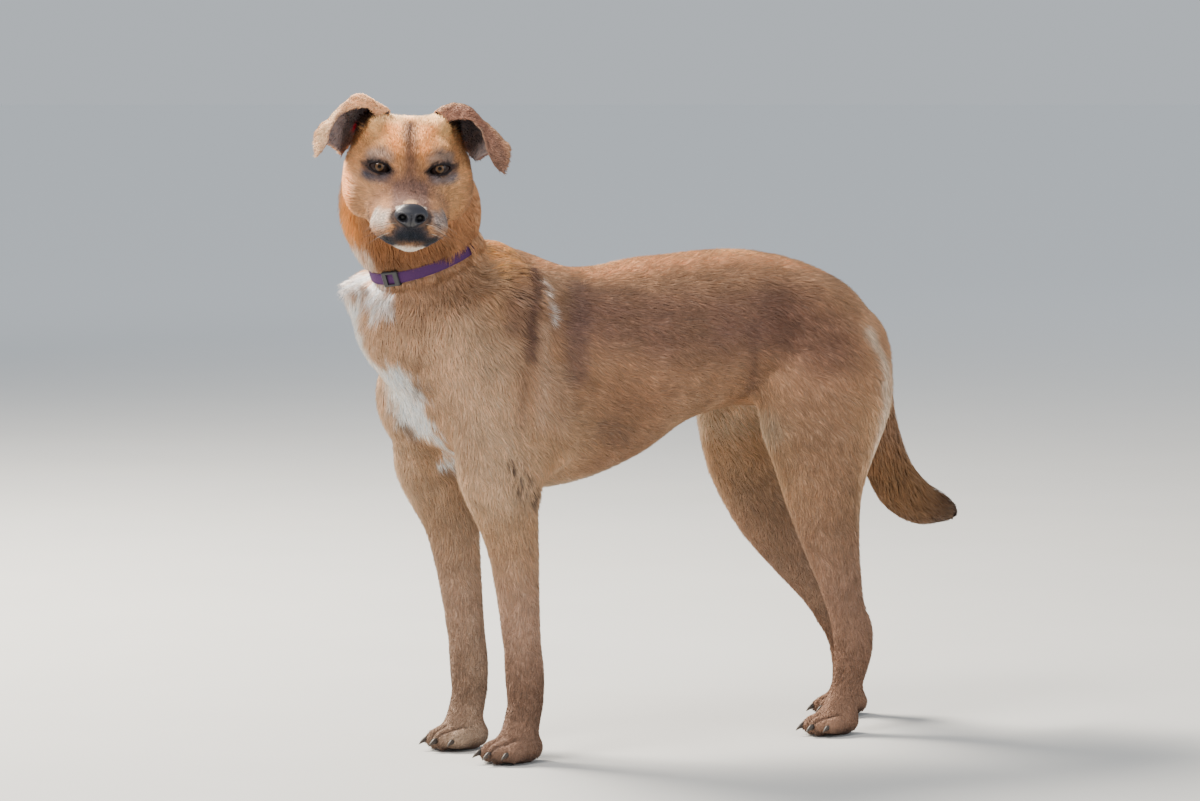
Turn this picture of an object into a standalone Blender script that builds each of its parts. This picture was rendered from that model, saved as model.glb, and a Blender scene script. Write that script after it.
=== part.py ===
"""A medium-large short-coated shepherd cross, standing with its head turned to its left, as a still life-size model.

Metres, +Z up. The dog faces -Y, its left side is +X, and it stands on z = 0. The outline of every solid is the outer
outline of the coat. The flesh is modelled whole, from swept limbs and muscle ovals fused into one skin, and is then
parted into its named pieces with thin cuts. Eyes, nose, ears, claws and collar are solids of their own.
"""

import math

import bmesh
import bpy
import numpy as np
from mathutils import Matrix, Vector

# ---------------------------------------------------------------- driving sizes
GAP = 0.0003            # clearance between neighbouring solids
FUSE = 0.0052           # cell of the mesh that fuses the flesh
FLESH_FACES = 2900      # triangles kept in the fused flesh

EYE_X = 0.0305          # half the distance between the eyeballs
EYE_BACK = 0.0016       # centre of the eyeball before the face plane
EYE_R = 0.0118

STRAP_W = 0.0132        # collar webbing
STRAP_T = 0.0026

COLLAR_AT = Vector((0.010, -0.2426, 0.581))
COLLAR_AXIS = Vector((0.034, -0.338, 0.940)).normalized()
BUCKLE_TURN = -64.0     # degrees round the collar, at the throat
COLLAR_R = (0.0775, 0.0610, 0.0680)    # to the throat, to the sides, to the nape

FORE_X = (0.066, -0.062)      # left and right fore paw
FORE_Y = (-0.158, -0.152)
HIND_X = (0.075, -0.058)
HIND_Y = (0.283, 0.392)

# head: where the point midway between the eyes is, and how the face is turned
HEAD_AT = (0.130, -0.335, 0.6835)
HEAD_YAW = 61.0         # degrees to the dog's left of straight ahead
HEAD_PITCH = 8.0        # degrees nose-down
HEAD_ROLL = 2.2         # degrees, left eye lower


# ---------------------------------------------------------------- head frame
def head_matrix():
    """Columns: the dog's left, forward out of the face, up."""
    yaw, pitch, roll = (math.radians(v) for v in (HEAD_YAW, HEAD_PITCH, HEAD_ROLL))
    fwd = Vector((math.sin(yaw), -math.cos(yaw), 0))
    left = Vector((math.cos(yaw), math.sin(yaw), 0))
    up = Vector((0, 0, 1))
    fwd, up = fwd * math.cos(pitch) - up * math.sin(pitch), up * math.cos(pitch) + fwd * math.sin(pitch)
    left, up = left * math.cos(roll) - up * math.sin(roll), up * math.cos(roll) + left * math.sin(roll)
    m = Matrix((left, fwd, up)).transposed().to_4x4()
    m.translation = HEAD_AT
    return m


HEAD = head_matrix()


def in_head(x, f, u):
    return HEAD @ Vector((x, f, u))


# ---------------------------------------------------------------- shape tools
def spline(rows, steps):
    """Catmull-Rom curve through the rows, so many steps to a span."""
    p = np.array(rows, float)
    p = np.vstack([2 * p[0] - p[1], p, 2 * p[-1] - p[-2]])
    out = []
    for a, b, c, d in zip(p[:-3], p[1:-2], p[2:-1], p[3:]):
        for k in range(steps):
            t = k / steps
            out.append(0.5 * (2 * b + (c - a) * t + (2 * a - 5 * b + 4 * c - d) * t * t + (3 * b - a - 3 * c + d) * t**3))
    out.append(p[-2])
    return np.array(out)


def unit(v):
    return v / np.linalg.norm(v, axis=-1, keepdims=True)


def sweep(bm, rows, top, steps=4, sides=20, cap=(0.8, 0.8), square=2.0, place=None):
    """An oval body along a curve.

    rows: x, y, z of the centre, half-width, reach on the top side, reach on the under side. top: which way the top side
    faces, one direction or one for each row. cap: how far each rounded end stands out, as a part of its radius.
    """
    r = spline(rows, steps)
    c = r[:, :3]
    t = unit(np.gradient(c, axis=0))
    up = spline(top, steps) if np.ndim(top) == 2 else np.broadcast_to(np.array(top, float), t.shape)
    s = unit(np.cross(up, t))
    w = np.cross(t, s)
    rings = [(c[i], s[i], w[i], *r[i, 3:6]) for i in range(len(r))]
    for end, sign, reach in ((0, -1, cap[0]), (-1, 1, cap[1])):
        size = reach * min(r[end, 3], 0.5 * (r[end, 4] + r[end, 5]))
        more = []
        for turn in (25, 50, 72):
            k, d = math.cos(math.radians(turn)), math.sin(math.radians(turn))
            more.append((c[end] + sign * size * d * t[end], s[end], w[end], *(k * r[end, 3:6])))
        pole = c[end] + sign * size * t[end]
        if end == 0:
            rings = more[::-1] + rings
            first = pole
        else:
            rings = rings + more
            last = pole
    angle = [2 * math.pi * k / sides for k in range(sides)]
    e = 2 / square
    loops = []
    for centre, side, up, a, above, below in rings:
        loop = []
        for v in angle:
            cx, cy = math.cos(v), math.sin(v)
            px = math.copysign(abs(cx) ** e, cx) * a
            py = math.copysign(abs(cy) ** e, cy) * (above if cy > 0 else below)
            point = Vector(centre + px * side + py * up)
            loop.append(bm.verts.new(place @ point if place else point))
        loops.append(loop)
    for one, two in zip(loops, loops[1:]):
        for k in range(sides):
            bm.faces.new((one[k], one[(k + 1) % sides], two[(k + 1) % sides], two[k]))
    for loop, pole, turn in ((loops[0], first, True), (loops[-1], last, False)):
        pole = Vector(pole)
        tip = bm.verts.new(place @ pole if place else pole)
        for k in range(sides):
            a, b = loop[k], loop[(k + 1) % sides]
            bm.faces.new((b, a, tip) if turn else (a, b, tip))


def ball(bm, centre, radii, along=None, top=(0, 0, 1), place=None, rings=10):
    """An oval muscle. radii: across, along, and on top; along: the direction of its middle axis."""
    if along is None:
        turn = Matrix.Identity(4)
    else:
        y = Vector(along).normalized()
        x = y.cross(Vector(top)).normalized()
        turn = Matrix((x, y, x.cross(y))).transposed().to_4x4()
    m = Matrix.Translation(centre) @ turn @ Matrix.Diagonal((*radii, 1))
    bmesh.ops.create_uvsphere(bm, u_segments=2 * rings, v_segments=rings, radius=1, matrix=place @ m if place else m)


# ---------------------------------------------------------------- objects and materials
def clear():
    for obj in list(bpy.data.objects):
        bpy.data.objects.remove(obj, do_unlink=True)


def material(name, colour, rough, metal=0.0):
    m = bpy.data.materials.new(name)
    m.use_nodes = True
    b = m.node_tree.nodes["Principled BSDF"]
    b.inputs["Base Color"].default_value = (*colour, 1)
    b.inputs["Roughness"].default_value = rough
    b.inputs["Metallic"].default_value = metal
    return m


def new_object(name, bm, mat=None, helper=False):
    mesh = bpy.data.meshes.new(name)
    bmesh.ops.recalc_face_normals(bm, faces=bm.faces)
    bm.to_mesh(mesh)
    bm.free()
    obj = bpy.data.objects.new(name, mesh)
    bpy.context.scene.collection.objects.link(obj)
    if mat:
        mesh.materials.append(mat)
    if helper:
        obj.hide_render = True
        obj.display_type = "WIRE"
    return obj


def applied(obj):
    """The object with its modifiers turned into mesh."""
    bpy.context.view_layer.update()
    mesh = bpy.data.meshes.new_from_object(obj.evaluated_get(bpy.context.evaluated_depsgraph_get()))
    obj.modifiers.clear()
    old = obj.data
    obj.data = mesh
    bpy.data.meshes.remove(old)
    return obj


def boolean(obj, other, operation):
    m = obj.modifiers.new("cut", "BOOLEAN")
    m.operation = operation
    m.object = other
    return applied(obj)


def duplicate(obj, name):
    new = bpy.data.objects.new(name, obj.data.copy())
    bpy.context.scene.collection.objects.link(new)
    return new


def drop(*objs):
    for obj in objs:
        bpy.data.objects.remove(obj, do_unlink=True)


def grown(obj, by):
    """A helper copy whose surface stands out by so much."""
    new = duplicate(obj, obj.name + "_grown")
    m = new.modifiers.new("grow", "DISPLACE")
    m.strength, m.mid_level = by, 0.0
    new.hide_render = True
    return applied(new)


# ---------------------------------------------------------------- the forms of the flesh
def trunk(bm):
    sweep(
        bm,
        [
            (0.020, -0.212, 0.447, 0.090, 0.085, 0.094),
            (0.010, -0.162, 0.450, 0.100, 0.108, 0.138),
            (0.002, -0.110, 0.450, 0.104, 0.126, 0.146),
            (0, -0.050, 0.450, 0.110, 0.114, 0.140),
            (0, 0.010, 0.454, 0.112, 0.110, 0.122),
            (0, 0.070, 0.464, 0.107, 0.109, 0.096),
            (0, 0.130, 0.476, 0.098, 0.101, 0.092),
            (0, 0.190, 0.480, 0.091, 0.098, 0.090),
            (0, 0.250, 0.474, 0.092, 0.093, 0.088),
            (0, 0.300, 0.462, 0.086, 0.083, 0.080),
            (0, 0.332, 0.450, 0.070, 0.070, 0.066),
        ],
        (0, 0, 1),
        cap=(0.58, 0.62),
        square=2.15,
    )
    ball(bm, (0, -0.125, 0.546), (0.046, 0.070, 0.040), (0, 1, -0.18))  # withers
    ball(bm, (0.004, -0.158, 0.555), (0.055, 0.045, 0.042))  # mane behind the collar
    ball(bm, (-0.030, -0.266, 0.535), (0.052, 0.056, 0.048))  # fold of the neck below the collar
    ball(bm, (-0.050, -0.214, 0.418), (0.052, 0.054, 0.070))  # right point of the shoulder
    ball(bm, (0.066, -0.186, 0.430), (0.046, 0.056, 0.080))  # left point of the shoulder
    for side in (1, -1):
        ball(bm, (side * 0.066, -0.140, 0.460), (0.042, 0.080, 0.115), (0, 1, 0.25))  # blade
        ball(bm, (side * 0.076, -0.140, 0.395), (0.034, 0.070, 0.075), (0, 1, -0.35))  # triceps
        ball(bm, (side * 0.050, 0.262, 0.505), (0.045, 0.080, 0.048), (0, 1, -0.22))  # hip


def neck(bm):
    sweep(
        bm,
        [
            (0.006, -0.160, 0.466, 0.092, 0.108, 0.080),
            (0.002, -0.200, 0.508, 0.094, 0.112, 0.094),
            (0.003, -0.228, 0.545, 0.096, 0.108, 0.088),
            (0.009, -0.2405, 0.577, 0.060, 0.074, 0.066),
            (0.014, -0.256, 0.610, 0.078, 0.080, 0.076),
            (0.020, -0.272, 0.646, 0.082, 0.080, 0.078),
            (0.032, -0.285, 0.684, 0.068, 0.064, 0.062),
        ],
        [(0, -1, 0), (0, -1, 0), (0.15, -0.99, 0), (0.5, -0.87, 0), (0.5, -0.87, 0), (0.4, -0.92, 0), (0.4, -0.92, 0)],
        steps=5,
        cap=(0.6, 0.5),
    )


def head(bm):
    sweep(
        bm,
        [
            (0, -0.104, -0.012, 0.058, 0.058, 0.055),
            (0, -0.080, -0.018, 0.071, 0.068, 0.062),
            (0, -0.055, -0.020, 0.0735, 0.070, 0.060),
            (0, -0.030, -0.028, 0.068, 0.065, 0.051),
            (0, -0.010, -0.039, 0.0575, 0.0585, 0.041),
            (0, 0.010, -0.046, 0.0485, 0.0445, 0.034),
            (0, 0.034, -0.049, 0.0430, 0.0335, 0.031),
            (0, 0.058, -0.050, 0.0405, 0.0290, 0.030),
            (0, 0.078, -0.050, 0.0370, 0.0260, 0.028),
            (0, 0.092, -0.049, 0.0300, 0.0230, 0.024),
        ],
        (0, 0, 1),
        steps=5,
        sides=28,
        cap=(0.6, 0.4),
        square=2.15,
        place=HEAD,
    )
    ball(bm, (0, 0.074, -0.070), (0.020, 0.024, 0.0105), place=HEAD)  # chin
    for side in (1, -1):
        ball(bm, (side * 0.0265, 0.058, -0.0545), (0.0175, 0.034, 0.0165), (side * -0.16, 1, 0), place=HEAD)  # flews
        ball(bm, (side * 0.047, -0.038, -0.024), (0.028, 0.044, 0.043), place=HEAD)  # cheek
        ball(bm, (side * 0.030, -0.013, 0.017), (0.020, 0.016, 0.013), place=HEAD)  # brow
        ball(bm, (side * 0.040, -0.062, 0.034), (0.024, 0.028, 0.023), place=HEAD)  # root of the ear


# Stations from the ear's inner root out to its tip, in the head frame, with x taken outward: where the back wall
# stands on the head and then runs free, the ridge over which the ear folds, and the front edge of the flap.
EAR_ROOT = ((0.026, -0.062, 0.038), (0.038, -0.080, 0.032), (0.053, -0.090, 0.020), (0.066, -0.085, 0.008), (0.074, -0.070, 0.001))
EAR_FREE = {
    1: ((0.078, -0.054, 0.003), (0.088, -0.046, 0.011), (0.098, -0.037, 0.008), (0.103, -0.028, 0.001), (0.104, -0.022, -0.003)),
    -1: ((0.077, -0.056, 0.005), (0.088, -0.047, 0.015), (0.097, -0.038, 0.015), (0.100, -0.030, 0.010), (0.100, -0.026, 0.007)),
}
EAR_RIDGE = {
    1: (
        (0.030, -0.060, 0.055), (0.041, -0.066, 0.061), (0.055, -0.070, 0.062), (0.067, -0.067, 0.058), (0.0785, -0.060, 0.049),
        (0.0905, -0.050, 0.041), (0.104, -0.042, 0.031), (0.111, -0.035, 0.0215), (0.1105, -0.028, 0.010), (0.106, -0.021, -0.003),
    ),
    -1: (
        (0.024, -0.060, 0.054), (0.034, -0.066, 0.059), (0.043, -0.070, 0.063), (0.051, -0.070, 0.0665), (0.060, -0.068, 0.067),
        (0.072, -0.062, 0.059), (0.089, -0.052, 0.045), (0.102, -0.042, 0.034), (0.105, -0.033, 0.022), (0.1025, -0.025, 0.007),
    ),
}
EAR_EDGE = {
    1: (
        (0.041, -0.048, 0.046), (0.052, -0.041, 0.050), (0.0625, -0.036, 0.0515), (0.0715, -0.032, 0.048), (0.079, -0.028, 0.0395),
        (0.0845, -0.025, 0.025), (0.088, -0.023, 0.0145), (0.0935, -0.021, 0.004), (0.099, -0.020, -0.002), (0.105, -0.019, -0.0055),
    ),
    -1: (
        (0.035, -0.050, 0.047), (0.042, -0.045, 0.0545), (0.052, -0.040, 0.060), (0.065, -0.035, 0.058), (0.076, -0.031, 0.053),
        (0.085, -0.028, 0.0435), (0.089, -0.026, 0.0325), (0.091, -0.025, 0.022), (0.095, -0.024, 0.0135), (0.101, -0.023, 0.005),
    ),
}


def ear_sheet(side, sink=0.0018, along=1, across=2):
    """Points of the ear's middle surface: the cupped wall rises to the ridge, then the flap folds down and forward.
    sink: how far the ridge lies under the outline."""
    turn = np.array((side, 1, 1))
    feet, ridges, edges = (spline(rows, along) * turn for rows in (EAR_ROOT + EAR_FREE[side], EAR_RIDGE[side], EAR_EDGE[side]))
    n = len(feet)
    grid = []
    for i in range(n):
        a, b, c = feet[i], ridges[i] - sink * np.array((side * 0.5, 0, 0.86)), edges[i]
        rise, fall = np.linalg.norm(b - a), np.linalg.norm(c - b)
        back = np.array((side * 0.25, -0.85, 0.15)) * 0.16 * rise * math.sin(math.pi * min(1, i / (n - 1) + 0.15))
        fold = np.array((side * 0.25, 0.3, 0.9)) * 0.12 * fall
        grid.append(spline([a, 0.5 * (a + b) + back, b, 0.5 * (b + c) + fold, c], across))
    return np.array(grid)


def ear(name, side, thick, mat=None, helper=False):
    grid = ear_sheet(side)
    bm = bmesh.new()
    verts = [[bm.verts.new(HEAD @ Vector(p)) for p in line] for line in grid]
    for one, two in zip(verts, verts[1:]):
        for k in range(len(one) - 1):
            bm.faces.new((one[k], one[k + 1], two[k + 1], two[k]))
    obj = new_object(name, bm, mat, helper)
    m = obj.modifiers.new("leather", "SOLIDIFY")
    m.thickness, m.offset, m.use_even_offset = thick, 0.0, True
    return applied(obj)


def eye(name, side, mat=None):
    bm = bmesh.new()
    ball(bm, (side * EYE_X, EYE_BACK, 0), (EYE_R, EYE_R, EYE_R), place=HEAD, rings=7)
    return new_object(name, bm, mat)


def nose(name, mat=None):
    bm = bmesh.new()
    ball(bm, (0, 0.0975, -0.0365), (0.0195, 0.0125, 0.0135), place=HEAD, rings=8)
    return new_object(name, bm, mat)


def leg_sweep(bm, rows):
    sweep(bm, rows, (0, -1, 0), steps=4, sides=18, cap=(0.7, 0.6))


def paw(bm, x, y, size=1.0):
    """Toes and pad of one foot, the middle of the foot at x, y."""
    s = size
    ball(bm, (x, y + 0.006 * s, 0.017 * s), (0.0265 * s, 0.029 * s, 0.021 * s))
    for dx, dy, r in ((-0.0095, -0.0275, 1.0), (0.0095, -0.0275, 1.0), (-0.0225, -0.0135, 0.92), (0.0225, -0.0135, 0.92)):
        ball(bm, (x + dx * s, y + dy * s, 0.0135 * s), (0.0098 * r * s, 0.0195 * r * s, 0.0150 * r * s), (dx * 6, -1, -0.18))


def forelegs(bm):
    for side, (x, back) in zip((1, -1), ((0.068, 0.0), (-0.0635, 0.006))):
        leg_sweep(
            bm,
            [
                (x * 0.92, -0.158 + back * 0.3, 0.450, 0.040, 0.062, 0.058),
                (x * 1.02, -0.174 + back * 0.3, 0.395, 0.040, 0.064, 0.060),
                (x * 1.07, -0.184 + back * 0.3, 0.345, 0.038, 0.057, 0.050),
                (x * 1.07, -0.180 + back * 0.6, 0.310, 0.036, 0.047, 0.044),
                (x * 1.06, -0.171 + back, 0.275, 0.032, 0.037, 0.039),
                (x * 1.05, -0.164 + back, 0.240, 0.028, 0.031, 0.033),
                (x * 1.03, -0.158 + back, 0.200, 0.0255, 0.0275, 0.028),
                (x * 1.01, -0.1525 + back, 0.155, 0.0232, 0.0252, 0.0252),
                (x, -0.148 + back, 0.118, 0.0225, 0.0240, 0.0235),
                (x, -0.1465 + back, 0.092, 0.0232, 0.0235, 0.0235),
                (x, -0.1470 + back, 0.066, 0.0212, 0.0212, 0.0225),
                (x, -0.1510 + back, 0.044, 0.0220, 0.0215, 0.0215),
                (x, -0.1560 + back, 0.024, 0.0240, 0.0230, 0.0230),
            ],
        )
        ball(bm, (x * 1.14, -0.154 + back, 0.312), (0.022, 0.024, 0.032))  # elbow
        ball(bm, (x, -0.128 + back, 0.066), (0.0075, 0.0065, 0.0085))  # stopper pad
    for x, y in zip(FORE_X, FORE_Y):
        paw(bm, x, y)


def hind_legs(bm):
    leg_sweep(
        bm,
        [
            (0.056, 0.290, 0.480, 0.044, 0.070, 0.068),
            (0.064, 0.283, 0.430, 0.050, 0.088, 0.088),
            (0.071, 0.268, 0.375, 0.049, 0.090, 0.086),
            (0.075, 0.264, 0.322, 0.042, 0.066, 0.068),
            (0.077, 0.267, 0.280, 0.034, 0.053, 0.051),
            (0.0765, 0.275, 0.240, 0.028, 0.043, 0.041),
            (0.076, 0.289, 0.190, 0.0225, 0.033, 0.031),
            (0.0755, 0.299, 0.153, 0.0198, 0.027, 0.026),
            (0.075, 0.3085, 0.120, 0.0192, 0.027, 0.0285),
            (0.075, 0.3090, 0.097, 0.0188, 0.0245, 0.0275),
            (0.075, 0.3025, 0.064, 0.0172, 0.0205, 0.0215),
            (0.075, 0.2940, 0.038, 0.0190, 0.0200, 0.0215),
            (0.075, 0.2850, 0.022, 0.0210, 0.0205, 0.0200),
        ],
    )
    ball(bm, (0.074, 0.330, 0.126), (0.011, 0.011, 0.016))  # point of the hock
    leg_sweep(
        bm,
        [
            (-0.056, 0.290, 0.480, 0.044, 0.070, 0.068),
            (-0.063, 0.285, 0.430, 0.050, 0.088, 0.088),
            (-0.067, 0.273, 0.375, 0.049, 0.092, 0.086),
            (-0.069, 0.268, 0.325, 0.042, 0.072, 0.070),
            (-0.069, 0.276, 0.280, 0.034, 0.055, 0.054),
            (-0.068, 0.293, 0.240, 0.029, 0.042, 0.043),
            (-0.066, 0.330, 0.190, 0.0225, 0.032, 0.032),
            (-0.064, 0.3595, 0.155, 0.0200, 0.027, 0.027),
            (-0.062, 0.3860, 0.120, 0.0192, 0.027, 0.0285),
            (-0.061, 0.3960, 0.096, 0.0188, 0.0245, 0.0275),
            (-0.060, 0.3985, 0.064, 0.0172, 0.0205, 0.0215),
            (-0.059, 0.3980, 0.038, 0.0190, 0.0200, 0.0215),
            (-0.058, 0.3930, 0.022, 0.0210, 0.0205, 0.0200),
        ],
    )
    ball(bm, (-0.062, 0.414, 0.124), (0.011, 0.011, 0.016))
    for side in (1, -1):
        ball(bm, (side * 0.050, 0.318, 0.440), (0.044, 0.060, 0.075))  # back of the thigh
    for x, y in zip(HIND_X, HIND_Y):
        paw(bm, x, y, 0.94)


def tail(bm, sides=20, steps=4):
    sweep(
        bm,
        [
            (0.004, 0.318, 0.512, 0.030, 0.026, 0.030),
            (0.006, 0.357, 0.488, 0.027, 0.026, 0.028),
            (0.008, 0.381, 0.440, 0.024, 0.024, 0.026),
            (0.009, 0.388, 0.390, 0.023, 0.025, 0.026),
            (0.010, 0.398, 0.340, 0.024, 0.027, 0.030),
            (0.010, 0.418, 0.297, 0.025, 0.027, 0.036),
            (0.010, 0.449, 0.269, 0.024, 0.025, 0.034),
            (0.010, 0.482, 0.257, 0.019, 0.020, 0.025),
            (0.010, 0.503, 0.250, 0.012, 0.014, 0.016),
        ],
        (0, 1, 1),
        steps=steps,
        sides=sides,
        cap=(0.6, 1.1),
    )


def flesh(parts, cell):
    """The flesh fused into one closed skin."""
    bm = bmesh.new()
    for part in parts:
        part(bm)
    obj = new_object("flesh", bm)
    m = obj.modifiers.new("fuse", "REMESH")
    m.mode, m.voxel_size, m.adaptivity = "VOXEL", cell, 0.0
    obj = applied(obj)
    group = obj.vertex_groups.new(name="soft")
    toward = HEAD.inverted()
    for v in obj.data.vertices:
        h = toward @ v.co
        face = h.y > -0.06 and abs(h.x) < 0.09 and h.z > -0.09
        waist = abs((v.co - COLLAR_AT).dot(COLLAR_AXIS)) < 0.035 and v.co.y < -0.12
        group.add([v.index], 0.12 if v.co.z < 0.05 else 0.1 if waist else 0.3 if face or v.co.z < 0.12 else 1.0, "REPLACE")
    m = obj.modifiers.new("soften", "SMOOTH")
    m.factor, m.iterations, m.vertex_group = 0.5, 24, "soft"
    return applied(obj)


def thinned(obj, faces):
    """The skin with fewer triangles; the face and the feet keep more of theirs."""
    group = obj.vertex_groups.new(name="thin")
    toward = HEAD.inverted()
    for v in obj.data.vertices:
        h = toward @ v.co
        fine = (h.y > -0.07 and abs(h.x) < 0.09 and h.z > -0.09) or v.co.z < 0.06
        group.add([v.index], 0.5 if fine else 1.0, "REPLACE")
    obj.data.calc_loop_triangles()
    m = obj.modifiers.new("thin", "DECIMATE")
    m.ratio, m.vertex_group, m.vertex_group_factor = faces / len(obj.data.loop_triangles), "thin", 0.004
    return applied(obj)


# ---------------------------------------------------------------- parting
def hull(points):
    """A convex helper solid around the points."""
    bm = bmesh.new()
    for p in points:
        bm.verts.new(p)
    out = bmesh.ops.convex_hull(bm, input=bm.verts)
    loose = [e for e in out["geom_interior"] + out["geom_unused"] if isinstance(e, bmesh.types.BMVert)]
    bmesh.ops.delete(bm, geom=loose, context="VERTS")
    return new_object("cutter", bm, helper=True)


def side_of(point, normal, shift=0.0, size=1.4):
    """A helper block that fills the side of a plane to which the normal points."""
    n = Vector(normal).normalized()
    bm = bmesh.new()
    turn = n.to_track_quat("Z", "Y").to_matrix().to_4x4()
    centre = Vector(point) + n * (shift + size / 2)
    bmesh.ops.create_cube(bm, size=size, matrix=Matrix.Translation(centre) @ turn)
    return new_object("cutter", bm, helper=True)


def part_by_plane(obj, name, point, normal):
    """Splits the object along a plane; the side the normal points to becomes a new object of that name."""
    far = duplicate(obj, name)
    a, b = side_of(point, normal, GAP / 2), side_of(point, [-v for v in normal], GAP / 2)
    boolean(far, a, "INTERSECT")
    boolean(obj, b, "INTERSECT")
    drop(a, b)
    return far


def part_by_hull(obj, name, points):
    """Takes what lies inside the convex shape off the object, as a new object of that name."""
    near = duplicate(obj, name)
    a, b = hull(points), grown_box(points, GAP)
    boolean(near, a, "INTERSECT")
    boolean(obj, b, "DIFFERENCE")
    drop(a, b)
    return near


def grown_box(points, by):
    """The same eight-cornered shape, each corner moved out by so much along every axis."""
    mid = sum((Vector(p) for p in points), Vector()) / len(points)
    return hull([[c + math.copysign(by, c - m) for c, m in zip(p, mid)] for p in points])


# ---------------------------------------------------------------- claws and collar
def claw(name, root, forward, mat, length=0.0125, radius=0.0036):
    """A short curved claw, from inside the toe forward and down."""
    f = Vector((forward[0], forward[1], 0)).normalized()
    side = Vector((-f.y, f.x, 0))
    bm = bmesh.new()
    loops = []
    for along, drop_z, r in ((0.0, 0.0, 1.0), (0.38, 0.06, 0.92), (0.72, 0.22, 0.66), (0.93, 0.42, 0.32)):
        c = Vector(root) + f * (length * along) - Vector((0, 0, length * drop_z))
        loops.append([
            bm.verts.new(c + side * (0.72 * radius * r * math.cos(v)) + Vector((0, 0, radius * r * math.sin(v))))
            for v in (2 * math.pi * k / 6 for k in range(6))
        ])
    for one, two in zip(loops, loops[1:]):
        for k in range(6):
            bm.faces.new((one[k], one[(k + 1) % 6], two[(k + 1) % 6], two[k]))
    bm.faces.new(loops[0][::-1])
    bm.faces.new(loops[-1])
    return new_object(name, bm, mat)


TOES = ((-0.0095, -0.0275, 1.0), (0.0095, -0.0275, 1.0), (-0.0225, -0.0135, 0.92), (0.0225, -0.0135, 0.92))


def collar_ring(steps):
    """Directions and radii of the collar round its middle, from the buckle at the throat: an oval pulled snug."""
    x = Vector((1, 0, 0))
    x = (x - COLLAR_AXIS * x.dot(COLLAR_AXIS)).normalized()
    y = COLLAR_AXIS.cross(x)
    throat, half, nape = COLLAR_R
    dirs, radii = [], []
    for k in range(steps):
        turn = 2 * math.pi * k / steps
        v = math.radians(BUCKLE_TURN) + turn
        dirs.append(x * math.cos(v) + y * math.sin(v))
        radii.append(1 / math.hypot(math.cos(turn) / (throat if math.cos(turn) > 0 else nape), math.sin(turn) / half))
    return dirs, radii


def strap(name, dirs, radii, mat=None, grow=0.0, clear=0.0, helper=False):
    """The band round the neck; as a cutter it is grown, and reaches out by the clearance as well."""
    bm = bmesh.new()
    w, outer, inner = STRAP_W / 2 + grow, 0.0006 + grow + clear, -STRAP_T + 0.0006 - grow
    loops = []
    for d, r in zip(dirs, radii):
        loops.append([
            bm.verts.new(COLLAR_AT + d * (r + off) + COLLAR_AXIS * h)
            for off, h in ((outer, -w), (outer, w), (inner, w), (inner, -w))
        ])
    n = len(loops)
    for i in range(n):
        for k in range(4):
            bm.faces.new((loops[i][k], loops[i][(k + 1) % 4], loops[(i + 1) % n][(k + 1) % 4], loops[(i + 1) % n][k]))
    return new_object(name, bm, mat, helper)


def block(size, at, axes, helper=True, name="cutter", mat=None):
    bm = bmesh.new()
    turn = Matrix(axes).transposed().to_4x4()
    bmesh.ops.create_cube(bm, size=1, matrix=Matrix.Translation(at) @ turn @ Matrix.Diagonal((*size, 1)))
    return new_object(name, bm, mat, helper)


def fore_box(side):
    return [
        (side * x, y, z)
        for x in (0.024, 0.24)
        for y, z in ((-0.36, -0.1), (-0.09, -0.1), (-0.36, 0.348), (-0.116, 0.332))
    ]


def hind_box(side):
    return [(side * x, y, z) for x in (0.012, 0.24) for y, z in ((0.10, -0.1), (0.50, -0.1), (0.10, 0.352), (0.50, 0.482))]


def colour(obj, mat):
    obj.data.materials.clear()
    obj.data.materials.append(mat)
    obj.data.shade_smooth()
    obj.data.set_sharp_from_angle(angle=math.radians(40))


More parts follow.
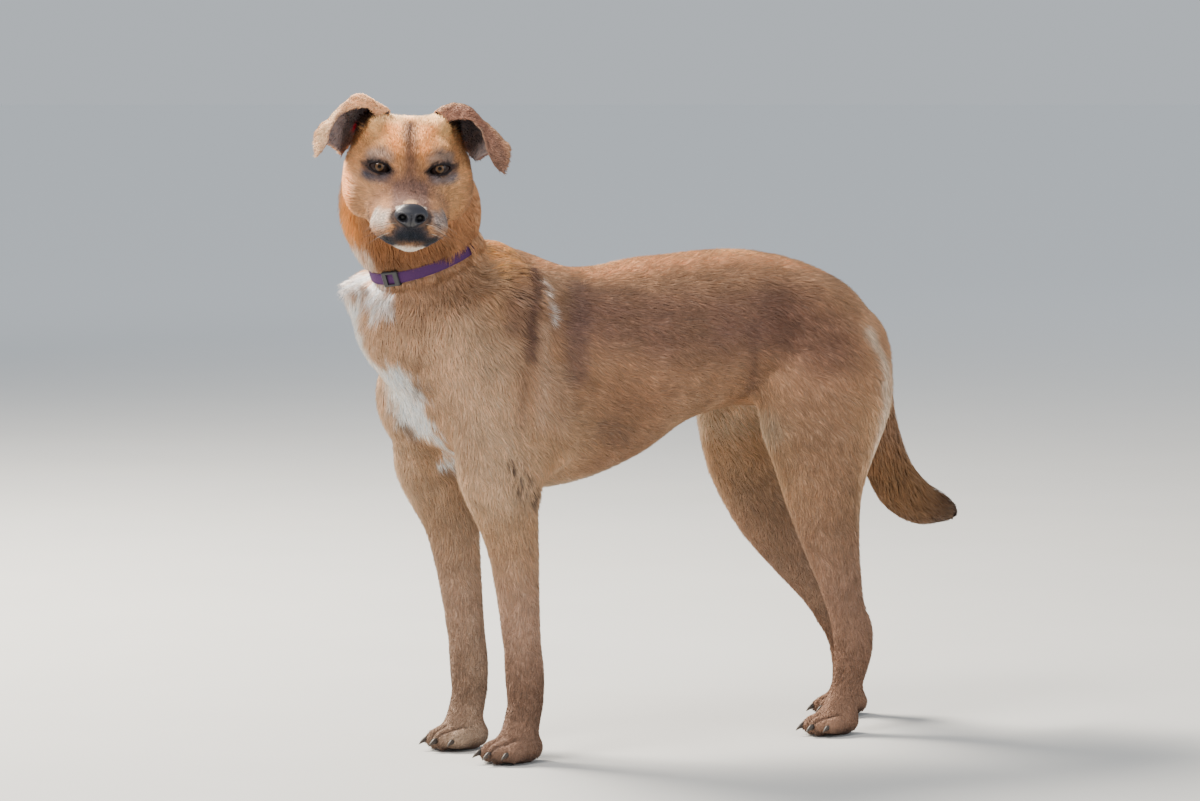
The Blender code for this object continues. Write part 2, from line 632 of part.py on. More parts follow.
def main():
    clear()
    coats = {
        "head": material("coat_head", (0.38, 0.23, 0.14), 0.85),
        "neck": material("coat_neck", (0.45, 0.25, 0.12), 0.85),
        "body": material("coat_body", (0.32, 0.19, 0.12), 0.85),
        "leg": material("coat_leg", (0.40, 0.26, 0.17), 0.85),
        "tail": material("coat_tail", (0.26, 0.13, 0.07), 0.85),
        "ear": material("coat_ear", (0.24, 0.13, 0.08), 0.85),
    }
    dark = material("nose_leather", (0.03, 0.03, 0.035), 0.45)
    iris = material("eye", (0.10, 0.05, 0.02), 0.08)
    horn = material("claw", (0.05, 0.04, 0.035), 0.5)
    web = material("webbing", (0.09, 0.03, 0.12), 0.8)
    plastic = material("plastic", (0.012, 0.012, 0.014), 0.4)

    body = thinned(flesh((trunk, neck, head, forelegs, hind_legs), FUSE), FLESH_FACES)
    body.name = "loin"

    # the soles: small flats at the level of the floor
    floor = side_of((0, 0, 0), (0, 0, 1))
    boolean(body, floor, "INTERSECT")
    drop(floor)

    # the collar follows the coat round the neck; its keeper sits at the throat
    dirs, radii = collar_ring(36)
    collar = strap("collar_strap", dirs, radii, web)
    groove = strap("cutter", dirs, radii, grow=GAP, helper=True)
    trench = strap("cutter", dirs, radii, grow=GAP, clear=0.005, helper=True)
    along = (dirs[1] * radii[1] - dirs[-1] * radii[-1]).normalized()
    across = along.cross(dirs[0]).normalized()
    out = across.cross(along).normalized()
    at = COLLAR_AT + dirs[0] * radii[0] - out * 0.0007
    axes = (along, across, out)
    buckle = block((0.0215, STRAP_W + 0.0042, 0.0074), at, axes, False, "collar_buckle", plastic)
    m = buckle.modifiers.new("round", "BEVEL")
    m.width, m.segments, m.limit_method = 0.0009, 1, "ANGLE"
    applied(buckle)
    slot = block((0.05, STRAP_W + 0.0009, STRAP_T + 0.0016), at, axes)
    window = block((0.0095, STRAP_W - 0.0010, 0.02), at + out * 0.0095, axes)
    boolean(buckle, slot, "DIFFERENCE")
    boolean(buckle, groove, "DIFFERENCE")
    boolean(buckle, window, "DIFFERENCE")
    bed = block((0.0221, STRAP_W + 0.0048, 0.0080), at, axes)
    boolean(body, trench, "DIFFERENCE")
    boolean(body, bed, "DIFFERENCE")
    drop(groove, trench, slot, window, bed)

    # eyes and nose sit in sockets of their own shape
    eyes = [eye("eye_left", 1, iris), eye("eye_right", -1, iris)]
    leather = nose("nose", dark)
    for obj in (*eyes, leather):
        socket = grown(obj, GAP)
        boolean(body, socket, "DIFFERENCE")
        drop(socket)

    # ears, tail and claws stand on the skin of the body
    ears = [ear("ear_left", 1, 0.0040), ear("ear_right", -1, 0.0040)]
    bm = bmesh.new()
    tail(bm, sides=12, steps=2)
    brush = new_object("tail", bm)
    claws = []
    for word, side, feet in (("fore", 1, (FORE_X, FORE_Y, 1.0)), ("hind", 1, (HIND_X, HIND_Y, 0.94))):
        for n, lr in enumerate(("left", "right")):
            x, y, s = feet[0][n], feet[1][n], feet[2]
            for t, (dx, dy, r) in enumerate(TOES):
                f = Vector((dx * 6, -1, 0)).normalized()
                root = Vector((x + dx * s, y + dy * s, 0.0128 * s)) + f * (0.0195 * r * s - 0.0062)
                claws.append(claw(f"claw_{word}_{lr}_{t + 1}", root, f, horn))
    whole = grown(body, 2.5 * GAP)
    for obj in (*ears, brush, *claws):
        boolean(obj, whole, "DIFFERENCE")
    drop(whole)
    for obj in (*ears, brush, *claws):
        keep_largest(obj)

    # parting the body
    parts = {"loin": body}
    for side, lr in ((1, "left"), (-1, "right")):
        leg = part_by_hull(body, f"foreleg_{lr}_foot", fore_box(side))
        arm = part_by_plane(leg, f"foreleg_{lr}_forearm", (0, 0, 0.100), (0, 0, 1))
        upper = part_by_plane(arm, f"foreleg_{lr}_elbow", (0, -0.15, 0.262), (0, 0.12, 1))
        thigh = part_by_hull(body, f"hindleg_{lr}_foot", hind_box(side))
        gaskin = part_by_plane(thigh, f"hindleg_{lr}_gaskin", (0, HIND_Y[0 if side > 0 else 1] + 0.02, 0.106), (0, -0.3, 1))
        top = part_by_plane(gaskin, f"hindleg_{lr}_thigh", (0, 0.26, 0.272), (0, 0.35, 1))
        for obj in (leg, arm, upper, thigh, gaskin, top):
            parts[obj.name] = obj
    parts["neck"] = part_by_plane(body, "neck", (0, -0.12, 0.603), (0, -0.585, 0.811))
    n = HEAD.to_3x3() @ Vector((0, 0.81, 0.587))
    parts["head"] = part_by_plane(parts["neck"], "head", in_head(0, -0.125, 0.05), n)
    parts["chest"] = part_by_plane(body, "chest", (0, 0.010, 0.4), (0, -1, 0.12))
    parts["hips"] = part_by_plane(body, "hips", (0, 0.185, 0.4), (0, 1, 0.12))
    for obj in parts.values():
        keep_largest(obj)
    for name, obj in parts.items():
        colour(obj, coats["head" if name == "head" else "neck" if name == "neck" else "leg" if "leg" in name else "body"])
    for obj in ears:
        colour(obj, coats["ear"])
    colour(brush, coats["tail"])
    for obj in (*eyes, leather, *claws):
        colour(obj, obj.data.materials[0])
    to_origin()


def keep_largest(obj):
    """Drops crumbs that a cut left beside the piece."""
    bm = bmesh.new()
    bm.from_mesh(obj.data)
    left, groups = set(bm.verts), []
    while left:
        seed = left.pop()
        group, edge = {seed}, [seed]
        while edge:
            v = edge.pop()
            for e in v.link_edges:
                o = e.other_vert(v)
                if o not in group:
                    group.add(o)
                    edge.append(o)
        left -= group
        groups.append(group)
    groups.sort(key=lambda g: -len(g))
    for group in groups[1:]:
        bmesh.ops.delete(bm, geom=list(group), context="VERTS")
    bm.to_mesh(obj.data)
    bm.free()


def to_origin():
    """Moves everything so that the origin is under the middle of the whole, on the floor."""
    shown = [o for o in bpy.data.objects if o.type == "MESH" and not o.hide_render]
    co = np.concatenate([np.array([v.co for v in o.data.vertices]) for o in shown])
    low, high = co.min(0), co.max(0)
    move = Matrix.Translation((-(low[0] + high[0]) / 2, -(low[1] + high[1]) / 2, -low[2]))
    for o in shown:
        o.data.transform(move)


if __name__ == "__main__":
    main()
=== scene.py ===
"""The looks of the standing dog: skin, coat, face, feet and collar over the CAD frame, with a plain studio round it."""

import math

import bmesh
import bpy
import numpy as np
from mathutils import Matrix, Vector
from mathutils.bvhtree import BVHTree


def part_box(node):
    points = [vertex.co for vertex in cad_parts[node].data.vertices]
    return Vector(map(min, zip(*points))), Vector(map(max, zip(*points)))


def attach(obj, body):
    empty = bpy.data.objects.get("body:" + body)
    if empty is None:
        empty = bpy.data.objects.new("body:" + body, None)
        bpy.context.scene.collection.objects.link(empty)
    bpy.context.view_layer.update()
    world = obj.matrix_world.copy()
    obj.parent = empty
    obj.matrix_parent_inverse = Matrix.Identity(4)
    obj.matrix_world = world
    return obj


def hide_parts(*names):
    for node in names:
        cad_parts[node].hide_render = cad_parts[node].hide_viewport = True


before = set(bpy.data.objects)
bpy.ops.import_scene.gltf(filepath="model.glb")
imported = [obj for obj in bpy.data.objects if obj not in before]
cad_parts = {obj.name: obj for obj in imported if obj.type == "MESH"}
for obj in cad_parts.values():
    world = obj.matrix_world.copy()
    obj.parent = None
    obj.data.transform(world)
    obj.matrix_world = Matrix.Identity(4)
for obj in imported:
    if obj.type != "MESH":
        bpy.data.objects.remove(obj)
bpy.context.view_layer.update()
rng = np.random.default_rng(7421)

# ---------------------------------------------------------------- sizes shared with the solid model
FUSE = 0.0060
EYE_X, EYE_BACK = 0.0305, 0.0016
STRAP_W, STRAP_T = 0.0132, 0.0026
COLLAR_AT = np.array((0.010, -0.2426, 0.581))
COLLAR_AXIS = np.array((0.034, -0.338, 0.940)) / np.linalg.norm((0.034, -0.338, 0.940))
BUCKLE_TURN = -64.0
COLLAR_R = (0.0775, 0.0610, 0.0680)
FORE_X, FORE_Y = (0.066, -0.062), (-0.158, -0.152)
HIND_X, HIND_Y = (0.075, -0.058), (0.283, 0.392)
HEAD_AT = (0.130, -0.335, 0.6835)
HEAD_YAW, HEAD_PITCH, HEAD_ROLL = 61.0, 8.0, 2.2

# sizes of the face that only the looks need, in the head frame (left, forward, up)
PUPIL_X, PUPIL_F, PUPIL_U = 0.0334, -0.0006, 0.0
EYE_R = 0.0118
NOSE_AT = np.array((0.0, 0.0975, -0.0365))


def unit(v):
    return v / np.maximum(np.linalg.norm(v, axis=-1, keepdims=True), 1e-12)


def step(a, b, x):
    """Smooth step from 0 at a to 1 at b."""
    t = np.clip((x - a) / (b - a), 0, 1)
    return t * t * (3 - 2 * t)


def head_matrix():
    yaw, pitch, roll = (math.radians(v) for v in (HEAD_YAW, HEAD_PITCH, HEAD_ROLL))
    fwd = Vector((math.sin(yaw), -math.cos(yaw), 0))
    left = Vector((math.cos(yaw), math.sin(yaw), 0))
    up = Vector((0, 0, 1))
    fwd, up = fwd * math.cos(pitch) - up * math.sin(pitch), up * math.cos(pitch) + fwd * math.sin(pitch)
    left, up = left * math.cos(roll) - up * math.sin(roll), up * math.cos(roll) + left * math.sin(roll)
    m = Matrix((left, fwd, up)).transposed().to_4x4()
    m.translation = HEAD_AT
    return m


HEAD = head_matrix()
HR = np.array(HEAD.to_3x3())
HO = np.array(HEAD_AT)


def to_head(p):
    return (p - HO) @ HR


def from_head(h):
    return h @ HR.T + HO


lo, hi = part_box("eye_left")
SHIFT = (np.array(lo) + np.array(hi)) / 2 - from_head(np.array((EYE_X, EYE_BACK, 0.0)))
MOVE = Matrix.Translation(SHIFT)


# ---------------------------------------------------------------- shape tools
def spline(rows, steps):
    p = np.array(rows, float)
    p = np.vstack([2 * p[0] - p[1], p, 2 * p[-1] - p[-2]])
    out = []
    for a, b, c, d in zip(p[:-3], p[1:-2], p[2:-1], p[3:]):
        for k in range(steps):
            t = k / steps
            out.append(0.5 * (2 * b + (c - a) * t + (2 * a - 5 * b + 4 * c - d) * t * t + (3 * b - a - 3 * c + d) * t**3))
    out.append(p[-2])
    return np.array(out)


def sweep(bm, rows, top, steps=4, sides=20, cap=(0.8, 0.8), square=2.0, place=None):
    r = spline(rows, steps)
    c = r[:, :3]
    t = unit(np.gradient(c, axis=0))
    up = spline(top, steps) if np.ndim(top) == 2 else np.broadcast_to(np.array(top, float), t.shape)
    s = unit(np.cross(up, t))
    w = np.cross(t, s)
    rings = [(c[i], s[i], w[i], *r[i, 3:6]) for i in range(len(r))]
    for end, sign, reach in ((0, -1, cap[0]), (-1, 1, cap[1])):
        size = reach * min(r[end, 3], 0.5 * (r[end, 4] + r[end, 5]))
        more = []
        for turn in (25, 50, 72):
            k, d = math.cos(math.radians(turn)), math.sin(math.radians(turn))
            more.append((c[end] + sign * size * d * t[end], s[end], w[end], *(k * r[end, 3:6])))
        pole = c[end] + sign * size * t[end]
        if end == 0:
            rings = more[::-1] + rings
            first = pole
        else:
            rings = rings + more
            last = pole
    angle = [2 * math.pi * k / sides for k in range(sides)]
    e = 2 / square
    loops = []
    for centre, side, up, a, above, below in rings:
        loop = []
        for v in angle:
            cx, cy = math.cos(v), math.sin(v)
            px = math.copysign(abs(cx) ** e, cx) * a
            py = math.copysign(abs(cy) ** e, cy) * (above if cy > 0 else below)
            point = Vector(centre + px * side + py * up)
            loop.append(bm.verts.new(place @ point if place else point))
        loops.append(loop)
    for one, two in zip(loops, loops[1:]):
        for k in range(sides):
            bm.faces.new((one[k], one[(k + 1) % sides], two[(k + 1) % sides], two[k]))
    for loop, pole, turn in ((loops[0], first, True), (loops[-1], last, False)):
        pole = Vector(pole)
        tip = bm.verts.new(place @ pole if place else pole)
        for k in range(sides):
            a, b = loop[k], loop[(k + 1) % sides]
            bm.faces.new((b, a, tip) if turn else (a, b, tip))


def ball(bm, centre, radii, along=None, top=(0, 0, 1), place=None, rings=10):
    if along is None:
        turn = Matrix.Identity(4)
    else:
        y = Vector(along).normalized()
        x = y.cross(Vector(top)).normalized()
        turn = Matrix((x, y, x.cross(y))).transposed().to_4x4()
    m = Matrix.Translation(centre) @ turn @ Matrix.Diagonal((*radii, 1))
    bmesh.ops.create_uvsphere(bm, u_segments=2 * rings, v_segments=rings, radius=1, matrix=place @ m if place else m)


def new_object(name, bm):
    mesh = bpy.data.meshes.new(name)
    bmesh.ops.recalc_face_normals(bm, faces=bm.faces)
    bm.to_mesh(mesh)
    bm.free()
    obj = bpy.data.objects.new(name, mesh)
    bpy.context.scene.collection.objects.link(obj)
    return obj


def applied(obj):
    bpy.context.view_layer.update()
    mesh = bpy.data.meshes.new_from_object(obj.evaluated_get(bpy.context.evaluated_depsgraph_get()))
    obj.modifiers.clear()
    old = obj.data
    obj.data = mesh
    bpy.data.meshes.remove(old)
    return obj


def object_of(name, verts, faces, move=True):
    """An object from arrays: verts in the design frame, faces of three or four corners."""
    verts = np.ascontiguousarray(verts, np.float32)
    if move:
        verts = verts + np.float32(SHIFT)
    faces = np.ascontiguousarray(faces, np.int32)
    n, k = faces.shape
    mesh = bpy.data.meshes.new(name)
    mesh.vertices.add(len(verts))
    mesh.vertices.foreach_set("co", verts.ravel())
    mesh.loops.add(n * k)
    mesh.loops.foreach_set("vertex_index", faces.ravel())
    mesh.polygons.add(n)
    mesh.polygons.foreach_set("loop_start", np.arange(0, n * k, k, dtype=np.int32))
    mesh.polygons.foreach_set("loop_total", np.full(n, k, np.int32))
    mesh.update(calc_edges=True)
    mesh.shade_smooth()
    obj = bpy.data.objects.new(name, mesh)
    bpy.context.scene.collection.objects.link(obj)
    return obj


def arrays_of(obj):
    me = obj.data
    v = np.empty(len(me.vertices) * 3, np.float64)
    me.vertices.foreach_get("co", v)
    me.calc_loop_triangles()
    t = np.empty(len(me.loop_triangles) * 3, np.int32)
    me.loop_triangles.foreach_get("vertices", t)
    return v.reshape(-1, 3), t.reshape(-1, 3)


def normals_of(v, t):
    n = np.cross(v[t[:, 1]] - v[t[:, 0]], v[t[:, 2]] - v[t[:, 0]])
    out = np.zeros_like(v)
    for k in range(3):
        for axis in range(3):
            out[:, axis] += np.bincount(t[:, k], n[:, axis], len(v))
    return unit(out)


def eased(v, t, rounds, weight):
    """The points moved toward the mean of their neighbours."""
    a = np.concatenate([t[:, 0], t[:, 1], t[:, 2], t[:, 1], t[:, 2], t[:, 0]])
    b = np.concatenate([t[:, 1], t[:, 2], t[:, 0], t[:, 0], t[:, 1], t[:, 2]])
    count = np.maximum(np.bincount(a, minlength=len(v)), 1)[:, None]
    w = np.broadcast_to(np.asarray(weight, float), (len(v),))[:, None]
    for _ in range(rounds):
        mean = np.stack([np.bincount(a, v[b, k], len(v)) for k in range(3)], 1) / count
        v = v + w * (mean - v)
    return v


# ---------------------------------------------------------------- the same forms as the solid model
def trunk(bm):
    sweep(
        bm,
        [
            (0.020, -0.212, 0.447, 0.090, 0.085, 0.094),
            (0.010, -0.162, 0.450, 0.100, 0.108, 0.138),
            (0.002, -0.110, 0.450, 0.104, 0.126, 0.146),
            (0, -0.050, 0.450, 0.110, 0.114, 0.140),
            (0, 0.010, 0.454, 0.112, 0.110, 0.122),
            (0, 0.070, 0.464, 0.107, 0.109, 0.096),
            (0, 0.130, 0.476, 0.098, 0.101, 0.092),
            (0, 0.190, 0.480, 0.091, 0.098, 0.090),
            (0, 0.250, 0.474, 0.092, 0.093, 0.088),
            (0, 0.300, 0.462, 0.086, 0.083, 0.080),
            (0, 0.332, 0.450, 0.070, 0.070, 0.066),
        ],
        (0, 0, 1),
        cap=(0.58, 0.62),
        square=2.15,
    )
    ball(bm, (0, -0.125, 0.546), (0.046, 0.070, 0.040), (0, 1, -0.18))
    ball(bm, (0.004, -0.158, 0.555), (0.055, 0.045, 0.042))
    ball(bm, (-0.030, -0.266, 0.535), (0.052, 0.056, 0.048))
    ball(bm, (-0.050, -0.214, 0.418), (0.052, 0.054, 0.070))
    ball(bm, (0.066, -0.186, 0.430), (0.046, 0.056, 0.080))
    for side in (1, -1):
        ball(bm, (side * 0.066, -0.140, 0.460), (0.042, 0.080, 0.115), (0, 1, 0.25))
        ball(bm, (side * 0.076, -0.140, 0.395), (0.034, 0.070, 0.075), (0, 1, -0.35))
        ball(bm, (side * 0.050, 0.262, 0.505), (0.045, 0.080, 0.048), (0, 1, -0.22))


NECK = [
    (0.006, -0.160, 0.466, 0.092, 0.108, 0.080),
    (0.002, -0.200, 0.508, 0.094, 0.112, 0.094),
    (0.003, -0.228, 0.545, 0.096, 0.108, 0.088),
    (0.009, -0.2405, 0.577, 0.060, 0.074, 0.066),
    (0.014, -0.256, 0.610, 0.078, 0.080, 0.076),
    (0.020, -0.272, 0.646, 0.082, 0.080, 0.078),
    (0.032, -0.285, 0.684, 0.068, 0.064, 0.062),
]


def neck(bm):
    tops = [(0, -1, 0), (0, -1, 0), (0.15, -0.99, 0), (0.5, -0.87, 0), (0.5, -0.87, 0), (0.4, -0.92, 0), (0.4, -0.92, 0)]
    sweep(bm, NECK, tops, steps=5, cap=(0.6, 0.5))


def head(bm):
    sweep(
        bm,
        [
            (0, -0.104, -0.012, 0.058, 0.058, 0.055),
            (0, -0.080, -0.018, 0.071, 0.068, 0.062),
            (0, -0.055, -0.020, 0.0735, 0.070, 0.060),
            (0, -0.030, -0.028, 0.068, 0.065, 0.051),
            (0, -0.010, -0.039, 0.0575, 0.0585, 0.041),
            (0, 0.010, -0.046, 0.0485, 0.0445, 0.034),
            (0, 0.034, -0.049, 0.0430, 0.0335, 0.031),
            (0, 0.058, -0.050, 0.0405, 0.0290, 0.030),
            (0, 0.078, -0.050, 0.0370, 0.0260, 0.028),
            (0, 0.092, -0.049, 0.0300, 0.0230, 0.024),
        ],
        (0, 0, 1),
        steps=5,
        sides=28,
        cap=(0.6, 0.4),
        square=2.15,
        place=HEAD,
    )
    ball(bm, (0, 0.074, -0.070), (0.020, 0.024, 0.0105), place=HEAD)
    for side in (1, -1):
        ball(bm, (side * 0.0265, 0.058, -0.0545), (0.0175, 0.034, 0.0165), (side * -0.16, 1, 0), place=HEAD)
        ball(bm, (side * 0.047, -0.038, -0.024), (0.028, 0.044, 0.043), place=HEAD)
        ball(bm, (side * 0.030, -0.013, 0.017), (0.020, 0.016, 0.013), place=HEAD)
        ball(bm, (side * 0.040, -0.062, 0.034), (0.024, 0.028, 0.023), place=HEAD)


EAR_ROOT = ((0.026, -0.062, 0.038), (0.038, -0.080, 0.032), (0.053, -0.090, 0.020), (0.066, -0.085, 0.008), (0.074, -0.070, 0.001))
EAR_FREE = {
    1: ((0.078, -0.054, 0.003), (0.088, -0.046, 0.011), (0.098, -0.037, 0.008), (0.103, -0.028, 0.001), (0.104, -0.022, -0.003)),
    -1: ((0.077, -0.056, 0.005), (0.088, -0.047, 0.015), (0.097, -0.038, 0.015), (0.100, -0.030, 0.010), (0.100, -0.026, 0.007)),
}
EAR_RIDGE = {
    1: (
        (0.030, -0.060, 0.055), (0.041, -0.066, 0.061), (0.055, -0.070, 0.062), (0.067, -0.067, 0.058), (0.0785, -0.060, 0.049),
        (0.0905, -0.050, 0.041), (0.104, -0.042, 0.031), (0.111, -0.035, 0.0215), (0.1105, -0.028, 0.010), (0.106, -0.021, -0.003),
    ),
    -1: (
        (0.024, -0.060, 0.054), (0.034, -0.066, 0.059), (0.043, -0.070, 0.063), (0.051, -0.070, 0.0665), (0.060, -0.068, 0.067),
        (0.072, -0.062, 0.059), (0.089, -0.052, 0.045), (0.102, -0.042, 0.034), (0.105, -0.033, 0.022), (0.1025, -0.025, 0.007),
    ),
}
EAR_EDGE = {
    1: (
        (0.041, -0.048, 0.046), (0.052, -0.041, 0.050), (0.0625, -0.036, 0.0515), (0.0715, -0.032, 0.048), (0.079, -0.028, 0.0395),
        (0.0845, -0.025, 0.025), (0.088, -0.023, 0.0145), (0.0935, -0.021, 0.004), (0.099, -0.020, -0.002), (0.105, -0.019, -0.0055),
    ),
    -1: (
        (0.035, -0.050, 0.047), (0.042, -0.045, 0.0545), (0.052, -0.040, 0.060), (0.065, -0.035, 0.058), (0.076, -0.031, 0.053),
        (0.085, -0.028, 0.0435), (0.089, -0.026, 0.0325), (0.091, -0.025, 0.022), (0.095, -0.024, 0.0135), (0.101, -0.023, 0.005),
    ),
}


def ear_sheet(side, sink=0.0018, along=1, across=2):
    turn = np.array((side, 1, 1))
    feet, ridges, edges = (spline(rows, along) * turn for rows in (EAR_ROOT + EAR_FREE[side], EAR_RIDGE[side], EAR_EDGE[side]))
    n = len(feet)
    grid = []
    for i in range(n):
        a, b, c = feet[i], ridges[i] - sink * np.array((side * 0.5, 0, 0.86)), edges[i]
        rise, fall = np.linalg.norm(b - a), np.linalg.norm(c - b)
        back = np.array((side * 0.25, -0.85, 0.15)) * 0.16 * rise * math.sin(math.pi * min(1, i / (n - 1) + 0.15))
        fold = np.array((side * 0.25, 0.3, 0.9)) * 0.12 * fall
        grid.append(spline([a, 0.5 * (a + b) + back, b, 0.5 * (b + c) + fold, c], across))
    return np.array(grid)


def leg_sweep(bm, rows):
    sweep(bm, rows, (0, -1, 0), steps=4, sides=18, cap=(0.7, 0.6))


TOES = ((-0.0095, -0.0275, 1.0), (0.0095, -0.0275, 1.0), (-0.0225, -0.0135, 0.92), (0.0225, -0.0135, 0.92))


def paw(bm, x, y, size=1.0):
    s = size
    ball(bm, (x, y + 0.006 * s, 0.017 * s), (0.0265 * s, 0.029 * s, 0.021 * s))
    for dx, dy, r in TOES:
        ball(bm, (x + dx * s, y + dy * s, 0.0135 * s), (0.0098 * r * s, 0.0195 * r * s, 0.0150 * r * s), (dx * 6, -1, -0.18))


def forelegs(bm):
    for side, (x, back) in zip((1, -1), ((0.068, 0.0), (-0.0635, 0.006))):
        leg_sweep(
            bm,
            [
                (x * 0.92, -0.158 + back * 0.3, 0.450, 0.040, 0.062, 0.058),
                (x * 1.02, -0.174 + back * 0.3, 0.395, 0.040, 0.064, 0.060),
                (x * 1.07, -0.184 + back * 0.3, 0.345, 0.038, 0.057, 0.050),
                (x * 1.07, -0.180 + back * 0.6, 0.310, 0.036, 0.047, 0.044),
                (x * 1.06, -0.171 + back, 0.275, 0.032, 0.037, 0.039),
                (x * 1.05, -0.164 + back, 0.240, 0.028, 0.031, 0.033),
                (x * 1.03, -0.158 + back, 0.200, 0.0255, 0.0275, 0.028),
                (x * 1.01, -0.1525 + back, 0.155, 0.0232, 0.0252, 0.0252),
                (x, -0.148 + back, 0.118, 0.0225, 0.0240, 0.0235),
                (x, -0.1465 + back, 0.092, 0.0232, 0.0235, 0.0235),
                (x, -0.1470 + back, 0.066, 0.0212, 0.0212, 0.0225),
                (x, -0.1510 + back, 0.044, 0.0220, 0.0215, 0.0215),
                (x, -0.1560 + back, 0.024, 0.0240, 0.0230, 0.0230),
            ],
        )
        ball(bm, (x * 1.14, -0.154 + back, 0.312), (0.022, 0.024, 0.032))
        ball(bm, (x, -0.128 + back, 0.066), (0.0075, 0.0065, 0.0085))
    for x, y in zip(FORE_X, FORE_Y):
        paw(bm, x, y)


HIND = {
    1: [
        (0.056, 0.290, 0.480, 0.044, 0.070, 0.068),
        (0.064, 0.283, 0.430, 0.050, 0.088, 0.088),
        (0.071, 0.268, 0.375, 0.049, 0.090, 0.086),
        (0.075, 0.264, 0.322, 0.042, 0.066, 0.068),
        (0.077, 0.267, 0.280, 0.034, 0.053, 0.051),
        (0.0765, 0.275, 0.240, 0.028, 0.043, 0.041),
        (0.076, 0.289, 0.190, 0.0225, 0.033, 0.031),
        (0.0755, 0.299, 0.153, 0.0198, 0.027, 0.026),
        (0.075, 0.3085, 0.120, 0.0192, 0.027, 0.0285),
        (0.075, 0.3090, 0.097, 0.0188, 0.0245, 0.0275),
        (0.075, 0.3025, 0.064, 0.0172, 0.0205, 0.0215),
        (0.075, 0.2940, 0.038, 0.0190, 0.0200, 0.0215),
        (0.075, 0.2850, 0.022, 0.0210, 0.0205, 0.0200),
    ],
    -1: [
        (-0.056, 0.290, 0.480, 0.044, 0.070, 0.068),
        (-0.063, 0.285, 0.430, 0.050, 0.088, 0.088),
        (-0.067, 0.273, 0.375, 0.049, 0.092, 0.086),
        (-0.069, 0.268, 0.325, 0.042, 0.072, 0.070),
        (-0.069, 0.276, 0.280, 0.034, 0.055, 0.054),
        (-0.068, 0.293, 0.240, 0.029, 0.042, 0.043),
        (-0.066, 0.330, 0.190, 0.0225, 0.032, 0.032),
        (-0.064, 0.3595, 0.155, 0.0200, 0.027, 0.027),
        (-0.062, 0.3860, 0.120, 0.0192, 0.027, 0.0285),
        (-0.061, 0.3960, 0.096, 0.0188, 0.0245, 0.0275),
        (-0.060, 0.3985, 0.064, 0.0172, 0.0205, 0.0215),
        (-0.059, 0.3980, 0.038, 0.0190, 0.0200, 0.0215),
        (-0.058, 0.3930, 0.022, 0.0210, 0.0205, 0.0200),
    ],
}


def hind_legs(bm):
    leg_sweep(bm, HIND[1])
    ball(bm, (0.074, 0.330, 0.126), (0.011, 0.011, 0.016))
    leg_sweep(bm, HIND[-1])
    ball(bm, (-0.062, 0.414, 0.124), (0.011, 0.011, 0.016))
    for side in (1, -1):
        ball(bm, (side * 0.050, 0.318, 0.440), (0.044, 0.060, 0.075))
    for x, y in zip(HIND_X, HIND_Y):
        paw(bm, x, y, 0.94)


TAIL = [
    (0.004, 0.318, 0.512, 0.030, 0.026, 0.030),
    (0.006, 0.357, 0.488, 0.027, 0.026, 0.028),
    (0.008, 0.381, 0.440, 0.024, 0.024, 0.026),
    (0.009, 0.388, 0.390, 0.023, 0.025, 0.026),
    (0.010, 0.398, 0.340, 0.024, 0.027, 0.030),
    (0.010, 0.418, 0.297, 0.025, 0.027, 0.036),
    (0.010, 0.449, 0.269, 0.024, 0.025, 0.034),
    (0.010, 0.482, 0.257, 0.019, 0.020, 0.025),
    (0.010, 0.503, 0.250, 0.012, 0.014, 0.016),
]


def tail(bm):
    sweep(bm, TAIL, (0, 1, 1), steps=4, sides=20, cap=(0.6, 1.1))


def flesh(parts, cell):
    bm = bmesh.new()
    for part in parts:
        part(bm)
    obj = new_object("flesh", bm)
    m = obj.modifiers.new("fuse", "REMESH")
    m.mode, m.voxel_size, m.adaptivity = "VOXEL", cell, 0.0
    obj = applied(obj)
    group = obj.vertex_groups.new(name="soft")
    toward = HEAD.inverted()
    axis, at = Vector(COLLAR_AXIS), Vector(COLLAR_AT)
    for v in obj.data.vertices:
        h = toward @ v.co
        face = h.y > -0.06 and abs(h.x) < 0.09 and h.z > -0.09
        waist = abs((v.co - at).dot(axis)) < 0.035 and v.co.y < -0.12
        brush = v.co.y > 0.372 and v.co.z > 0.2 and abs(v.co.x) < 0.045
        group.add([v.index], 0.12 if v.co.z < 0.05 else 0.1 if waist else 0.3 if face or v.co.z < 0.12 or brush else 1.0, "REPLACE")
    m = obj.modifiers.new("soften", "SMOOTH")
    m.factor, m.iterations, m.vertex_group = 0.5, 19, "soft"
    return applied(obj)


def refined(obj, chosen, rounds):
    """The chosen part of the mesh cut twice as fine, and eased there."""
    v, _ = arrays_of(obj)
    inside = chosen(v)
    bm = bmesh.new()
    bm.from_mesh(obj.data)
    bm.verts.ensure_lookup_table()
    edges = {e for f in bm.faces if all(inside[w.index] for w in f.verts) for e in f.edges}
    bmesh.ops.subdivide_edges(bm, edges=list(edges), cuts=1, use_grid_fill=True)
    ngons = [f for f in bm.faces if len(f.verts) > 4]
    bmesh.ops.triangulate(bm, faces=ngons)
    bm.to_mesh(obj.data)
    bm.free()
    v, t = arrays_of(obj)
    v = eased(v, t, rounds, 0.5 * chosen(v))
    obj.data.vertices.foreach_set("co", v.astype(np.float32).ravel())
    obj.data.update()
    return obj


# ---------------------------------------------------------------- fields over the body
WAVES = {}


